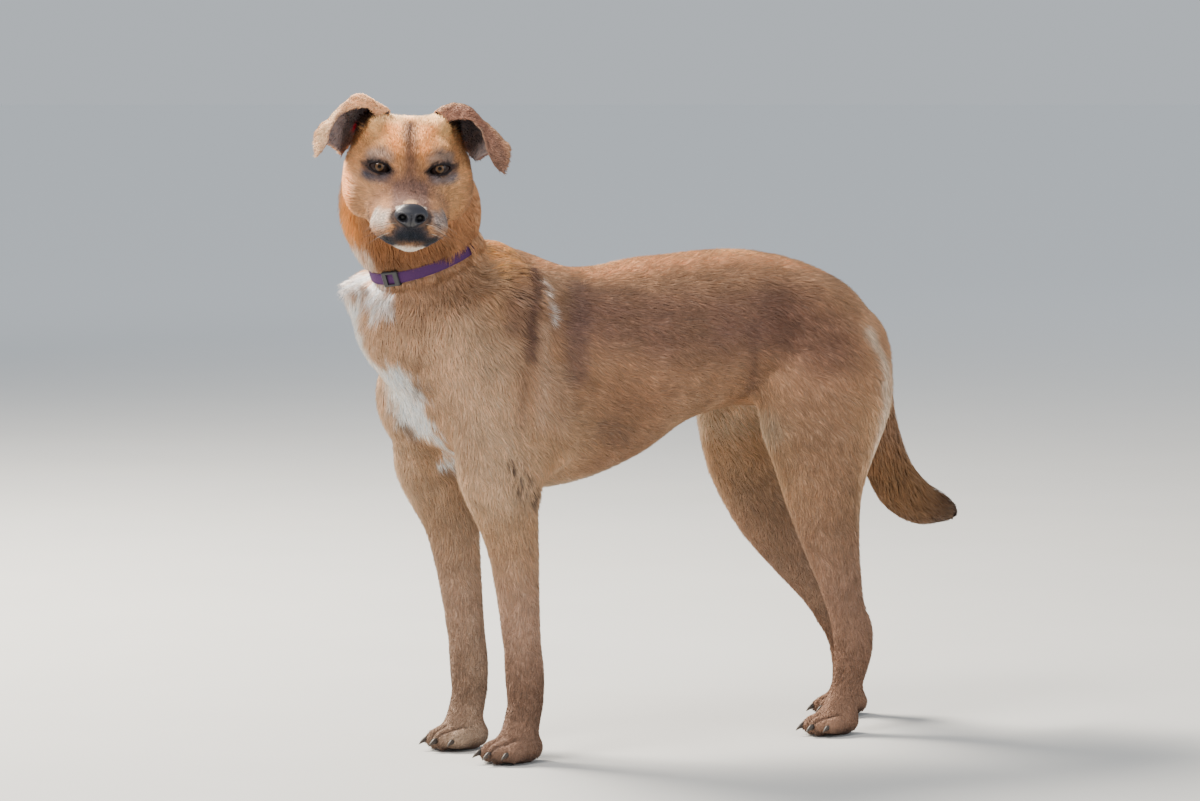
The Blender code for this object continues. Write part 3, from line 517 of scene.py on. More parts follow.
def noise(p, size, seed=0, octaves=1):
    """A smooth field of about -1..1 that changes over the given size."""
    total, gain, norm = 0.0, 1.0, 0.0
    for o in range(octaves):
        key = (seed, o)
        if key not in WAVES:
            r = np.random.default_rng(1000 + 97 * seed + o)
            k = unit(r.normal(size=(14, 3))) * r.uniform(0.6, 1.5, (14, 1))
            WAVES[key] = (k, r.uniform(0, 2 * math.pi, 14))
        k, phase = WAVES[key]
        total = total + gain * np.sin(p @ (k.T * (2 * math.pi / size * 2**o)) + phase).sum(1) / math.sqrt(14 / 1.4) / 1.4
        norm += gain
        gain *= 0.55
    return np.clip(total / norm * 1.3, -1.6, 1.6)


def chain(p, points):
    """Distance from each p to the line through the points, and how far along it, 0 to 1."""
    q = np.array(points, float)
    if len(q) == 1:
        return np.linalg.norm(p - q[0], axis=1), np.zeros(len(p))
    best = np.full(len(p), 1e9)
    where = np.zeros(len(p))
    for i, (a, b) in enumerate(zip(q, q[1:])):
        d = b - a
        t = np.clip((p - a) @ d / max(d @ d, 1e-12), 0, 1)
        dist = np.linalg.norm(p - a - t[:, None] * d, axis=1)
        closer = dist < best
        best[closer] = dist[closer]
        where[closer] = ((i + t) / (len(q) - 1))[closer]
    return best, where


TAIL_LINE = [r[:3] for r in TAIL]
COLLAR_X = unit(np.array((1.0, 0, 0)) - COLLAR_AXIS * COLLAR_AXIS[0])
COLLAR_Y = np.cross(COLLAR_AXIS, COLLAR_X)


def regions(p):
    """Weights of the regions of the body at points of the design frame."""
    h = to_head(p)
    x, y, z = p.T
    cut = (h - np.array((0, -0.125, 0.05))) @ np.array((0, 0.81, 0.587))
    w = {}
    w["head"] = step(-0.012, 0.022, cut) * step(0.56, 0.60, z)
    above = (p - COLLAR_AT) @ COLLAR_AXIS
    w["neck"] = (1 - w["head"]) * step(-0.10, -0.02, above + 0.02) * step(0.02, -0.12, y)
    near, _ = chain(p, TAIL_LINE)
    w["tail"] = step(0.055, 0.035, near) * step(0.335, 0.372, y) * step(0.19, 0.22, z)
    leg = step(0.36, 0.27, z) * (1 - w["tail"])
    inner = np.where(y < 0.05, step(0.018, 0.034, np.abs(x)), 1.0)
    w["leg"] = np.maximum(leg * inner, step(0.285, 0.26, z) * (1 - w["tail"]))
    w["foot"] = step(0.075, 0.045, z)
    w["body"] = np.clip(1 - w["head"] - w["neck"] - w["tail"] - w["leg"], 0, 1)
    return w


def depth_of(p, n):
    """How far the skin lies inside the outline of the coat."""
    w = regions(p)
    h = to_head(p)
    x, y, z = p.T
    face = 0.0036 - 0.0018 * step(-0.05, 0.0, h[:, 1]) - 0.0006 * step(0.03, 0.06, h[:, 1])
    body = 0.0036 + 0.0014 * step(0.5, 0.56, z)
    leg = 0.0017 + 0.0017 * step(0.12, 0.30, z)
    leg = leg * (1 - w["foot"]) + 0.0012 * w["foot"]
    band = np.abs((p - COLLAR_AT) @ COLLAR_AXIS)
    ruff = 0.0060 - 0.0020 * step(0.03, 0.012, band) * (y < -0.12)
    out = w["head"] * face + w["neck"] * ruff + w["tail"] * 0.0075 + w["leg"] * leg + w["body"] * body
    return out / np.maximum(w["head"] + w["neck"] + w["tail"] + w["leg"] + w["body"], 1e-3)


# where the coat points: place and direction, both sides alike; a place on the middle line stands once
FLOW = [
    ((0.000, -0.180, 0.590), (0, 1, -0.30)), ((0.000, -0.100, 0.580), (0, 1, -0.10)), ((0.000, 0.050, 0.570), (0, 1, 0)),
    ((0.000, 0.200, 0.570), (0, 1, -0.05)), ((0.000, 0.300, 0.545), (0, 0.8, -0.6)), ((0.085, -0.150, 0.540), (0.2, 0.9, -0.6)),
    ((0.070, -0.110, 0.555), (0.3, 1, -0.4)), ((0.080, 0.000, 0.540), (0.3, 1, -0.30)), ((0.080, 0.150, 0.535), (0.3, 1, -0.25)),
    ((0.105, -0.150, 0.480), (0.1, 0.55, -0.85)), ((0.105, -0.180, 0.420), (0, 0.35, -1)), ((0.105, -0.100, 0.480), (0, 0.9, -0.50)),
    ((0.110, -0.030, 0.460), (0, 0.95, -0.42)), ((0.105, 0.060, 0.460), (0, 1, -0.35)), ((0.095, 0.150, 0.470), (0, 1, -0.35)),
    ((0.095, -0.080, 0.400), (0, 0.9, -0.45)), ((0.090, -0.020, 0.380), (0, 0.95, -0.35)), ((0.075, 0.060, 0.390), (0, 1, -0.15)),
    ((0.060, 0.130, 0.400), (0, 1, -0.2)), ((0.000, -0.080, 0.310), (0, 1, 0)), ((0.000, 0.050, 0.360), (0, 1, 0)),
    ((0.000, 0.180, 0.390), (0, 0.9, -0.3)), ((0.060, -0.270, 0.500), (0.1, 0.25, -1)), ((0.000, -0.300, 0.520), (0, 0.12, -1)),
    ((0.000, -0.280, 0.440), (0, 0.3, -1)), ((0.000, -0.240, 0.380), (0, 0.75, -0.75)), ((0.050, -0.250, 0.400), (0.1, 0.45, -1)),
    ((0.095, -0.210, 0.400), (0, 0.35, -1)), ((0.100, -0.190, 0.340), (0, 0.25, -1)), ((0.100, -0.145, 0.320), (0, 0.5, -1)),
    ((0.070, -0.200, 0.250), (0, 0.1, -1)), ((0.070, -0.130, 0.250), (0, 0.25, -1)), ((0.070, -0.150, 0.120), (0, 0.05, -1)),
    ((0.068, -0.150, 0.050), (0, -0.2, -1)), ((0.066, -0.185, 0.030), (0, -0.8, -0.6)), ((0.105, 0.230, 0.480), (0.1, 0.75, -0.6)),
    ((0.110, 0.280, 0.440), (0, 0.6, -0.85)), ((0.112, 0.230, 0.400), (0, 0.55, -0.85)), ((0.085, 0.180, 0.400), (0.1, 0.6, -0.8)),
    ((0.105, 0.320, 0.400), (-0.1, 0.5, -1)), ((0.060, 0.370, 0.420), (-0.1, 0.3, -1)), ((0.095, 0.300, 0.320), (0, 0.35, -1)),
    ((0.095, 0.240, 0.300), (0, 0.25, -1)), ((0.080, 0.280, 0.200), (0, 0.25, -1)), ((0.076, 0.310, 0.110), (0, 0.0, -1)),
    ((0.075, 0.300, 0.050), (0, -0.2, -1)), ((0.070, 0.250, 0.030), (0, -0.8, -0.6)), ((0.030, 0.260, 0.360), (0, 0.5, -1)),
    ((0.065, 0.340, 0.200), (0, 0.3, -1)), ((0.060, 0.390, 0.110), (0, 0, -1)), ((0.060, 0.400, 0.050), (0, -0.2, -1)),
    ((0.060, 0.350, 0.030), (0, -0.8, -0.6)),
]


def flow(p, n):
    """Direction of the coat at each point, along the skin."""
    w = regions(p)
    d = np.zeros_like(p)
    total = np.zeros(len(p))
    for at, way in FLOW:
        for side in (1, -1):
            if at[0] == 0 and side < 0:
                continue
            a, b = np.array((side * at[0], at[1], at[2])), unit(np.array((side * way[0], way[1], way[2]), float))
            k = 1 / (((p - a) ** 2).sum(1) + 0.0006) ** 2
            d += k[:, None] * b
            total += k
    d /= total[:, None]
    # neck: from the head down to the chest, the nape and the sides
    rel = p - COLLAR_AT
    round_ = rel - (rel @ COLLAR_AXIS)[:, None] * COLLAR_AXIS
    front = unit(round_) @ unit(np.array((0.2, -1, 0.0)))
    down = unit(-COLLAR_AXIS + np.stack([0 * front, 0.35 - 0.45 * front, -0.15 * front], 1))
    low = (step(0.0, -0.03, rel @ COLLAR_AXIS) * step(0.0, 0.6, front))[:, None]
    down = down * (1 - low) + np.array((0.0, 0.05, -1.0)) * low
    d = d * (1 - w["neck"])[:, None] + down * w["neck"][:, None]
    # head: away from the nose
    h = to_head(p)
    away = unit(h - np.array((0, 0.115, -0.040)))
    away = unit(away + step(0.0, -0.05, h[:, 1])[:, None] * np.array((0, -0.7, -0.15)) + step(-0.02, -0.07, h[:, 2])[:, None] * np.array((0, -0.5, -0.5)))
    d = d * (1 - w["head"])[:, None] + (away @ HR.T) * w["head"][:, None]
    # tail: along it
    line = spline(TAIL_LINE, 6)
    tangent = unit(np.gradient(line, axis=0))
    near = np.argmin(((p[:, None, :] - line[None]) ** 2).sum(2), 1) if len(p) < 400000 else None
    t = tangent[near]
    under = np.stack([0 * t[:, 0], 0 * t[:, 0], -0.12 * np.ones(len(t))], 1)
    d = d * (1 - w["tail"])[:, None] + (t + under) * w["tail"][:, None]
    d = d - (d * n).sum(1, keepdims=True) * n
    return unit(d)


# ---------------------------------------------------------------- markings of the coat
def lin(r, g, b):
    c = np.array((r, g, b), float) / 255
    return np.where(c <= 0.04045, c / 12.92, ((c + 0.055) / 1.055) ** 2.4)


def blend(c, colour, weight):
    return c + np.clip(weight, 0, 1)[:, None] * (lin(*colour) - c)


def near(p, points, radius, soft, both=False, squeeze=None):
    """Weight of a mark along a line: 1 inside the radius, fading over soft. squeeze scales the axes first."""
    s = np.ones(3) if squeeze is None else np.array(squeeze, float)
    d, _ = chain(p * s, np.array(points, float) * s)
    if both:
        q = np.array(points, float) * np.array((-1, 1, 1))
        d = np.minimum(d, chain(p * s, q * s)[0])
    return step(radius + soft, radius - 0.15 * soft, d)


def body_colour(p):
    x, y, z = p.T
    grain = noise(p, 0.030, 1, 3)
    broad = noise(p, 0.11, 2, 2)
    c = np.tile(lin(176, 133, 98), (len(p), 1))
    # the flank and the lower side run paler, the legs a little duller toward the feet
    c = blend(c, (186, 148, 110), 0.7 * step(0.44, 0.36, z))
    c = blend(c, (172, 136, 110), step(0.30, 0.16, z))
    c = blend(c, (110, 82, 64), 0.9 * step(0.21, 0.07, z))
    c = blend(c, (150, 108, 78), 0.65 * step(0.47, 0.41, z) * step(0.07, 0.0, y) * step(-0.10, -0.04, y) * step(0.28, 0.32, z))
    c = blend(c, (140, 104, 80), 0.5 * step(0.31, 0.25, z) * step(0.10, 0.15, y))
    # painted shade on the right foreleg, darker and greyer than the left
    c = blend(c, (136, 112, 90), 0.45 * step(-0.01, -0.04, x) * step(0.34, 0.30, z) * step(-0.06, -0.10, y))
    # shoulder and upper arm
    c = blend(c, (210, 174, 138), 0.80 * near(p, [(0.085, -0.225, 0.47), (0.095, -0.22, 0.39), (0.09, -0.20, 0.33)], 0.02, 0.06, True))
    c = blend(c, (196, 160, 126), 0.6 * step(-0.20, -0.25, y) * step(0.30, 0.36, z) * step(0.56, 0.50, z))
    # painted sunlight along the topline, light gold, with the darker saddle below it
    c = blend(c, (242, 172, 118), 0.90 * step(0.068, 0.018, np.abs(x)) * step(0.525, 0.550, z) * step(-0.22, -0.16, y))
    saddle = near(p, [(0.088, -0.112, 0.530), (0.098, -0.050, 0.512), (0.102, 0.02, 0.498), (0.098, 0.10, 0.495), (0.088, 0.18, 0.500)], 0.018, 0.050 , True)
    c = blend(c, (130, 95, 78), 0.80 * saddle * (0.86 + 0.16 * broad + 0.12 * grain))
    c = blend(c, (112, 84, 78), 0.55 * near(p, [(0.071, -0.084, 0.544), (0.100, -0.100, 0.495), (0.105, -0.104, 0.446)], 0.008, 0.016, True))
    c = blend(c, (124, 88, 72), 0.7 * near(p, [(0.09, 0.20, 0.50), (0.095, 0.25, 0.47)], 0.02, 0.05, True))
    # thigh: pale fringe behind, warm middle
    c = blend(c, (176, 132, 100), 0.5 * near(p, [(0.112, 0.23, 0.40), (0.112, 0.25, 0.31)], 0.02, 0.05, True))
    fringe = near(p, [(0.085, 0.355, 0.43), (0.090, 0.345, 0.37), (0.090, 0.330, 0.31), (0.080, 0.315, 0.27)], 0.006, 0.024, True)
    fringe = np.maximum(fringe, near(p, [(0.05, 0.375, 0.45), (0.06, 0.360, 0.37), (0.07, 0.335, 0.30)], 0.012, 0.024, True))
    c = blend(c, (198, 172, 142), 0.62 * fringe * (1 - 0.9 * step(0.335, 0.372, y) * step(0.055, 0.035, chain(p, TAIL_LINE)[0])))
    rear = near(p, [(0.096, 0.318, 0.480), (0.100, 0.333, 0.457), (0.107, 0.336, 0.421), (0.108, 0.331, 0.380), (0.103, 0.324, 0.339)], 0.004, 0.015, True)
    c = blend(c, (216, 194, 166), 0.75 * rear)
    # painted shade in the fold before the thigh
    c = blend(c, (112, 82, 68), 0.5 * near(p, [(0.094, 0.147, 0.486), (0.091, 0.152, 0.451), (0.070, 0.164, 0.418)], 0.003, 0.016, True))
    # belly and groin
    c = blend(c, (200, 176, 144), 0.6 * step(0.055, 0.02, np.abs(x)) * step(0.40, 0.34, z) * step(-0.16, -0.08, y) * step(0.24, 0.2, y) * step(0.29, 0.31, z))
    c = blend(c, (196, 170, 138), 0.55 * near(p, [(0.02, 0.24, 0.38), (0.05, 0.20, 0.372), (0.07, 0.185, 0.37)], 0.012, 0.02, True))
    # painted shade between the hind legs, on the inner faces of the thighs
    c = blend(c, (140, 112, 88), 0.6 * step(0.075, 0.045, np.abs(x)) * step(0.35, 0.28, z) * step(0.10, 0.14, z) * step(0.02, 0.10, y))
    # insides of the forelegs, paler
    c = blend(c, (190, 164, 136), 0.5 * step(0.05, 0.03, np.abs(x)) * step(0.30, 0.25, z) * step(0.0, -0.08, y))
    # dark flecks at the elbow and on the brisket
    fleck = np.clip(noise(p, 0.012, 7, 2) * 1.4 + 0.2, 0, 1)
    elbow = near(p, [(0.109, -0.186, 0.342), (0.108, -0.172, 0.326), (0.100, -0.150, 0.306)], 0.006, 0.018, True)
    c = blend(c, (72, 56, 50), 0.95 * elbow * fleck)
    smudge = near(p, [(0.095, -0.058, 0.379), (0.090, -0.030, 0.366)], 0.006, 0.020, False)
    c = blend(c, (92, 72, 62), 0.70 * smudge * (0.35 + 0.5 * fleck))
    # chest: pale tan, with the white blaze low down and a white flash below the collar
    ragged = p + 0.0075 * np.stack([noise(p, 0.016, 61, 2), noise(p, 0.016, 62, 2), noise(p, 0.016, 63, 2)], 1)
    white = near(ragged, [(0.014, -0.286, 0.440), (0.004, -0.268, 0.415), (-0.004, -0.255, 0.395)], 0.020, 0.013)
    white = np.maximum(white, near(ragged, [(0.006, -0.262, 0.408), (0.022, -0.249, 0.388), (0.016, -0.235, 0.370), (-0.026, -0.190, 0.334)], 0.0045, 0.010))
    white = white * (0.85 + 0.35 * noise(p, 0.010, 9, 2))
    c = blend(c, (240, 236, 226), 1.1 * white)
    flash = near(ragged, [(0.002, -0.316, 0.552), (0.014, -0.318, 0.540), (0.026, -0.315, 0.530)], 0.010, 0.014)
    flash = np.maximum(flash, near(ragged, [(-0.030, -0.305, 0.565), (-0.040, -0.300, 0.540), (-0.030, -0.305, 0.510)], 0.012, 0.022))
    c = blend(c, (240, 232, 222), 0.95 * flash * (0.85 + 0.3 * noise(p, 0.012, 10, 2)))
    side = near(ragged, [(-0.024, -0.300, 0.520), (-0.030, -0.292, 0.470), (-0.024, -0.268, 0.425), (-0.012, -0.250, 0.395)], 0.012, 0.018)
    c = blend(c, (236, 228, 214), 0.9 * side * (0.8 + 0.4 * noise(p, 0.014, 12, 2)))
    # painted shade in the creases of the chest and where the right foreleg meets it
    crease_shade = near(p, [(0.070, -0.283, 0.528), (0.070, -0.286, 0.488), (0.045, -0.278, 0.447), (0.010, -0.262, 0.412)], 0.001, 0.007)
    crease_shade = np.maximum(crease_shade, near(p, [(-0.026, -0.256, 0.388), (-0.024, -0.222, 0.357), (-0.030, -0.183, 0.321)], 0.002, 0.008))
    c = blend(c, (126, 94, 70), 0.6 * crease_shade)
    # neck: warm orange sides, golden ruff at the nape brightened as painted backlight, painted rim light on the front
    # edge and painted shade on the throat under the head
    w = regions(p)
    c = blend(c, (188, 128, 82), 0.8 * w["neck"] * step(0.56, 0.61, z))
    c = blend(c, (190, 146, 106), 0.65 * w["neck"] * step(-0.24, -0.19, y))
    # painted rim light: the front edge of the neck below the chin, bright orange
    c = blend(c, (214, 136, 62), 0.75 * near(p, [(0.006, -0.350, 0.640), (0.007, -0.346, 0.620)], 0.014, 0.020))
    # painted shade on the throat under the head, at and above the collar
    c = blend(c, (128, 84, 52), 0.75 * near(p, [(0.050, -0.320, 0.585), (0.062, -0.307, 0.580), (0.078, -0.270, 0.585)], 0.012, 0.020))
    c = blend(c, (150, 98, 58), 0.7 * near(p, [(0.055, -0.335, 0.610), (0.090, -0.300, 0.625)], 0.020, 0.025))
    # the golden ruff at the nape, partly its own colour and partly painted backlight
    gold = near(p, [(0.030, -0.168, 0.590), (0.050, -0.166, 0.580), (0.068, -0.176, 0.565)], 0.010, 0.022, True)
    c = blend(c, (240, 172, 100), 0.85 * gold * (0.75 + 0.4 * noise(p, 0.014, 11)))
    # dark stripe down the shoulder, with a pale streak and a soft pale band behind it
    stripe = near(p, [(0.060, -0.145, 0.566), (0.093, -0.158, 0.542), (0.102, -0.162, 0.508), (0.106, -0.164, 0.474)], 0.005, 0.010, True)
    c = blend(c, (132, 96, 80), 0.5 * near(p, [(0.070, -0.172, 0.566), (0.090, -0.178, 0.540), (0.098, -0.182, 0.505)], 0.006, 0.014, True))
    c = blend(c, (96, 68, 60), 0.80 * stripe)
    c = blend(c, (148, 112, 86), 0.5 * near(p, [(0.108, -0.170, 0.455), (0.109, -0.178, 0.396)], 0.003, 0.011, True))
    c = blend(c, (202, 164, 130), 0.45 * near(p, [(0.106, -0.132, 0.440), (0.106, -0.128, 0.400)], 0.012, 0.022, True))
    c = blend(c, (208, 172, 140), 0.45 * near(p, [(0.100, -0.144, 0.500), (0.107, -0.148, 0.440), (0.108, -0.152, 0.395)], 0.004, 0.012, True))
    streak = near(p, [(0.085, -0.138, 0.554), (0.095, -0.135, 0.535), (0.100, -0.130, 0.512)], 0.0016, 0.008, False)
    c = blend(c, (246, 230, 214), 0.95 * streak * (0.6 + 0.5 * noise(p, 0.008, 5)))
    # tail: red-brown, paler under, dark at the tip
    _, along = chain(p, TAIL_LINE)
    under = step(0.0, -0.02, z - (0.512 - 0.262 * along**0.75))
    c = blend(c, (130, 94, 68), 0.85 * w["tail"] * step(0.16, 0.44, along))
    c = blend(c, (116, 80, 44), 0.6 * w["tail"] * under * step(0.3, 0.6, along))
    c = blend(c, (24, 12, 9), 0.95 * w["tail"] * step(0.60, 0.84, along) * (1 - 0.35 * under))
    # painted shade in the grooves between the toes
    c = blend(c, (58, 42, 34), 0.75 * toe_lines(p))
    c = blend(c, (70, 54, 46), 0.6 * step(0.016, 0.004, z))
    return c * (1 + 0.10 * broad + 0.10 * grain)[:, None]


def face_colour(p):
    """Colour on the head, from head-frame coordinates; x is mirrored except where a mark is on one side."""
    h = to_head(p)
    grain = noise(p, 0.012, 21, 2)
    x, f, u = h.T
    a = np.abs(x)
    m = np.stack([a, f, u], 1)
    flat = np.array((1, 0.35, 1))       # marks reach along the face's own depth
    c = np.tile(lin(192, 136, 86), (len(p), 1))
    c = blend(c, (250, 190, 124), 0.80 * step(0.016, 0.036, u) * step(-0.09, -0.03, f))
    # cheeks paler, back of the skull warmer; behind the cheeks the right neck side is painted orange as rim-lit, the
    # left one browner
    cheek = near(m, [(0.050, 0.0, -0.022), (0.056, -0.02, -0.040)], 0.012, 0.020, squeeze=flat)
    c = blend(c, (214, 160, 108), 0.8 * cheek * (x > 0))
    c = blend(c, (184, 138, 98), 0.8 * cheek * (x <= 0))
    c = blend(c, (196, 136, 86), 0.8 * step(-0.055, -0.085, f))
    # painted rim light, orange, on the right side of the neck behind the cheek
    c = blend(c, (204, 128, 62), 0.85 * step(-0.056, -0.066, x) * step(0.0, -0.02, u))
    c = blend(c, (178, 126, 84), 0.75 * step(0.050, 0.066, x) * step(0.0, -0.03, u))
    # painted shade under the jaw
    c = blend(c, (124, 80, 50), 0.8 * step(-0.070, -0.084, u) * step(0.03, 0.0, f))
    # forehead: golden fields either side of the dark middle line
    c = blend(c, (206, 132, 66), 0.85 * near(m, [(0.014, -0.01, 0.020), (0.018, -0.035, 0.040)], 0.006, 0.014, squeeze=flat))
    c = blend(c, (240, 196, 142), 0.8 * near(m, [(0.012, -0.045, 0.050), (0.030, -0.050, 0.050)], 0.004, 0.012, squeeze=flat))
    c = blend(c, (112, 76, 56), 0.88 * near(m, [(0.0, 0.0, -0.008), (0.0, 0.0, 0.022), (0.0, -0.02, 0.042)], 0.0045, 0.009, squeeze=flat))
    line = near(m, [(0.0, 0.0, 0.012), (0.0, -0.02, 0.036), (0.0, -0.045, 0.050)], 0.0006, 0.0035, squeeze=flat)
    c = blend(c, (74, 46, 36), 0.9 * line)
    # brows: grey shading above the inner corner of the eye, with a dark arc
    c = blend(c, (140, 122, 110), 0.75 * near(m, [(0.022, 0.0, 0.010), (0.031, 0.0, 0.0145), (0.042, 0.0, 0.011)], 0.003, 0.008, squeeze=flat))
    c = blend(c, (64, 52, 50), 0.85 * near(m, [(0.0215, 0.0, 0.016), (0.026, 0.0, 0.0185), (0.032, 0.0, 0.0165)], 0.0006, 0.003, squeeze=flat))
    # below the eye: grey with a blue tint of painted sky light in shade, darker and bluer on the right, bounded by a
    # dark tear line running down and out
    under = near(m, [(0.026, 0.01, -0.0110), (0.036, 0.0, -0.0130), (0.045, 0.0, -0.009)], 0.0036, 0.007, squeeze=flat)
    c = blend(c, (118, 112, 114), 0.85 * under * (x > 0))
    c = blend(c, (66, 70, 80), 0.93 * under * (x <= 0))
    c = blend(c, (92, 66, 56), 0.7 * near(m, [(0.0195, 0.01, -0.008), (0.024, 0.015, -0.018), (0.033, 0.01, -0.026)], 0.0012, 0.005, squeeze=flat))
    c = blend(c, (104, 72, 56), 0.65 * near(m, [(0.051, 0.0, 0.0), (0.041, 0.0, -0.0095), (0.032, 0.0, -0.0150)], 0.0009, 0.0036, squeeze=flat))
    # painted shade where the muzzle leaves the cheek
    c = blend(c, (128, 94, 74), 0.5 * near(m, [(0.024, 0.04, -0.017), (0.032, 0.03, -0.028), (0.040, 0.02, -0.040)], 0.0012, 0.0065, squeeze=flat))
    # muzzle: grey-brown bridge, gold just above the nose
    bridge = step(0.008, 0.030, f) * step(-0.046, -0.030, u)
    c = blend(c, (98, 74, 68), 0.88 * bridge * step(0.030, 0.016, a))
    c = blend(c, (160, 118, 88), 0.55 * step(0.008, 0.030, f) * step(0.016, 0.030, a))
    c = blend(c, (226, 178, 126), 0.9 * near(m, [(0.0, 0.084, -0.0215), (0.0, 0.074, -0.0175)], 0.0055, 0.006))
    c = blend(c, (242, 226, 204), 0.8 * near(m, [(0.007, 0.092, -0.0235), (0.014, 0.088, -0.0275)], 0.0025, 0.0035))
    # whisker beds: speckled, dark toward the lip; the right bed painted pale as sunlit, the left greyer as in shade
    bed = near(m, [(0.022, 0.082, -0.046), (0.027, 0.070, -0.048), (0.032, 0.055, -0.048)], 0.008, 0.008)
    speck = np.clip(noise(p, 0.0042, 25, 2) * 1.2 + 0.45, 0, 1)
    c = blend(c, (226, 210, 190), 0.92 * bed * (x <= 0))
    c = blend(c, (170, 158, 150), 0.9 * bed * (x > 0))
    c = blend(c, (72, 66, 66), (0.70 + 0.15 * (x > 0)) * bed * (1 - speck))
    c = blend(c, (46, 49, 58), 0.92 * near(m, [(0.0, 0.094, -0.0555), (0.010, 0.090, -0.0570), (0.020, 0.082, -0.0605), (0.027, 0.070, -0.0625)], 0.0040, 0.0066, squeeze=flat))
    c = blend(c, (52, 50, 54), 0.88 * near(m, [(0.0, 0.095, -0.0515), (0.009, 0.093, -0.0520), (0.016, 0.090, -0.0530)], 0.0030, 0.0040, squeeze=flat))
    lip = near(m, LIP, 0.0032, 0.0050)
    c = blend(c, (44, 42, 48), 0.95 * lip)
    c = blend(c, (34, 38, 46), 0.95 * near(m, [(0.0, 0.094, -0.050), (0.0, 0.094, -0.060)], 0.0035, 0.004))
    c = blend(c, (30, 33, 38), 0.97 * near(m, [(0.0, 0.094, -0.0575), (0.010, 0.092, -0.0590), (0.022, 0.084, -0.0630)], 0.0068, 0.0045))
    ring = np.linalg.norm((h - NOSE_AT) / np.array((0.0202, 0.0128, 0.0140)), axis=1)
    c = blend(c, (50, 48, 50), 0.85 * step(1.30, 1.12, ring) * step(-0.028, -0.036, u))
    # chin: dark lip tinted blue as painted sky light in shade, pale fringe below
    c = blend(c, (44, 48, 56), 0.9 * near(m, [(0.0, 0.086, -0.0685), (0.016, 0.080, -0.0705), (0.028, 0.068, -0.071)], 0.0035, 0.004))
    c = blend(c, (232, 218, 198), 0.9 * near(m, [(0.0, 0.082, -0.0765), (0.012, 0.078, -0.0775)], 0.0030, 0.0050, squeeze=flat))
    c = blend(c, (208, 192, 172), 0.8 * near(m, [(0.0, 0.084, -0.0725), (0.012, 0.080, -0.0735)], 0.0028, 0.0042, squeeze=flat))
    c = blend(c, (200, 160, 120), 0.6 * step(-0.078, -0.086, u) * step(0.07, 0.04, f))
    # throat: white flash on the right side of the throat
    q = to_head(p)
    c = blend(c, (238, 226, 212), 0.85 * near(p, [(0.012, -0.330, 0.592), (-0.006, -0.322, 0.598), (-0.026, -0.310, 0.604)], 0.011, 0.012))
    # the dark inside of the ear and the shade in its hollow, painted onto the side of the skull
    edge = np.interp(u, (0.008, 0.023, 0.037, 0.042, 0.050), (0.0665, 0.0575, 0.0475, 0.0420, 0.0360))
    c = blend(c, (44, 33, 32), 0.93 * step(-0.001, 0.0035, a - edge) * step(0.004, 0.012, u) * step(-0.030, -0.036, f) * step(-0.105, -0.090, f))
    # lids
    for k in (1, -1):
        e = lid_measure(q, k)
        c = blend(c, (74, 62, 62), 0.6 * step(2.1, 1.45, e))
        c = blend(c, (20, 17, 20), 0.98 * step(1.55, 1.25, e))
    c = blend(c, (30, 26, 30), 0.9 * near(m, [(0.0215, 0.0, -0.0035), (0.0190, 0.0, -0.0065)], 0.0008, 0.003, squeeze=flat))
    out = near(m, [(0.0455, 0.0, 0.0022), (0.0530, -0.004, 0.0040)], 0.0009, 0.0026, squeeze=flat)
    c = blend(c, (64, 48, 42), 0.65 * out)
    return c * (1 + 0.09 * grain + 0.05 * noise(p, 0.05, 23))[:, None]


# the line of the mouth, one side, from the middle under the nose to its corner
LIP = [(0.0, 0.0925, -0.0640), (0.006, 0.0915, -0.0660), (0.020, 0.0850, -0.0690), (0.034, 0.0680, -0.0680), (0.041, 0.0450, -0.0620), (0.0435, 0.0200, -0.0510)]

# opening of the eye: half-width, half-height above and below, and how far the outer corner stands higher
LID_W, LID_UP, LID_DOWN, LID_SLANT = 0.0116, 0.0058, 0.0048, 0.17


def lid_measure(h, side):
    """1 on the rim of the eye's opening, more outside it; large away from the front of the face."""
    x = h[:, 0] * side - PUPIL_X
    u = h[:, 2] - PUPIL_U - LID_SLANT * x
    out = np.abs(x) / LID_W
    high = np.where(u > 0, LID_UP, LID_DOWN)
    e = np.sqrt(out**2 + (u / high) ** 2 + 0.25 * out**2 * (np.abs(u) / high))
    return e + 8 * step(-0.012, -0.03, h[:, 1])


# hair shades itself, so its own colour is lighter and greyer than the coat looks
GAIN = np.array((1.28, 1.35, 1.50))


def bright(c):
    """Held below white, mostly keeping its hue."""
    held = c * np.minimum(1, 0.93 / np.maximum(c.max(1), 1e-6))[:, None]
    return np.clip(0.7 * held + 0.3 * np.minimum(c, 0.93), 0.002, 0.93)


def coat_colour(p):
    w = regions(p)["head"]
    # the hair of the head runs over into the neck
    w = step(0.15, 0.85, w + 0.12 * noise(p, 0.02, 30))
    c = body_colour(p) * (1 - w)[:, None] + face_colour(p) * w[:, None]
    ragged = p + 0.010 * np.stack([noise(p, 0.018, 64, 2), noise(p, 0.018, 65, 2), noise(p, 0.018, 66, 2)], 1)
    throat = near(ragged, [(0.010, -0.330, 0.583), (-0.006, -0.322, 0.588), (-0.026, -0.310, 0.594)], 0.010, 0.014)
    c = blend(c, (226, 208, 186), 0.8 * throat * (0.85 + 0.3 * noise(p, 0.012, 31, 2)))
    return bright(c * GAIN)


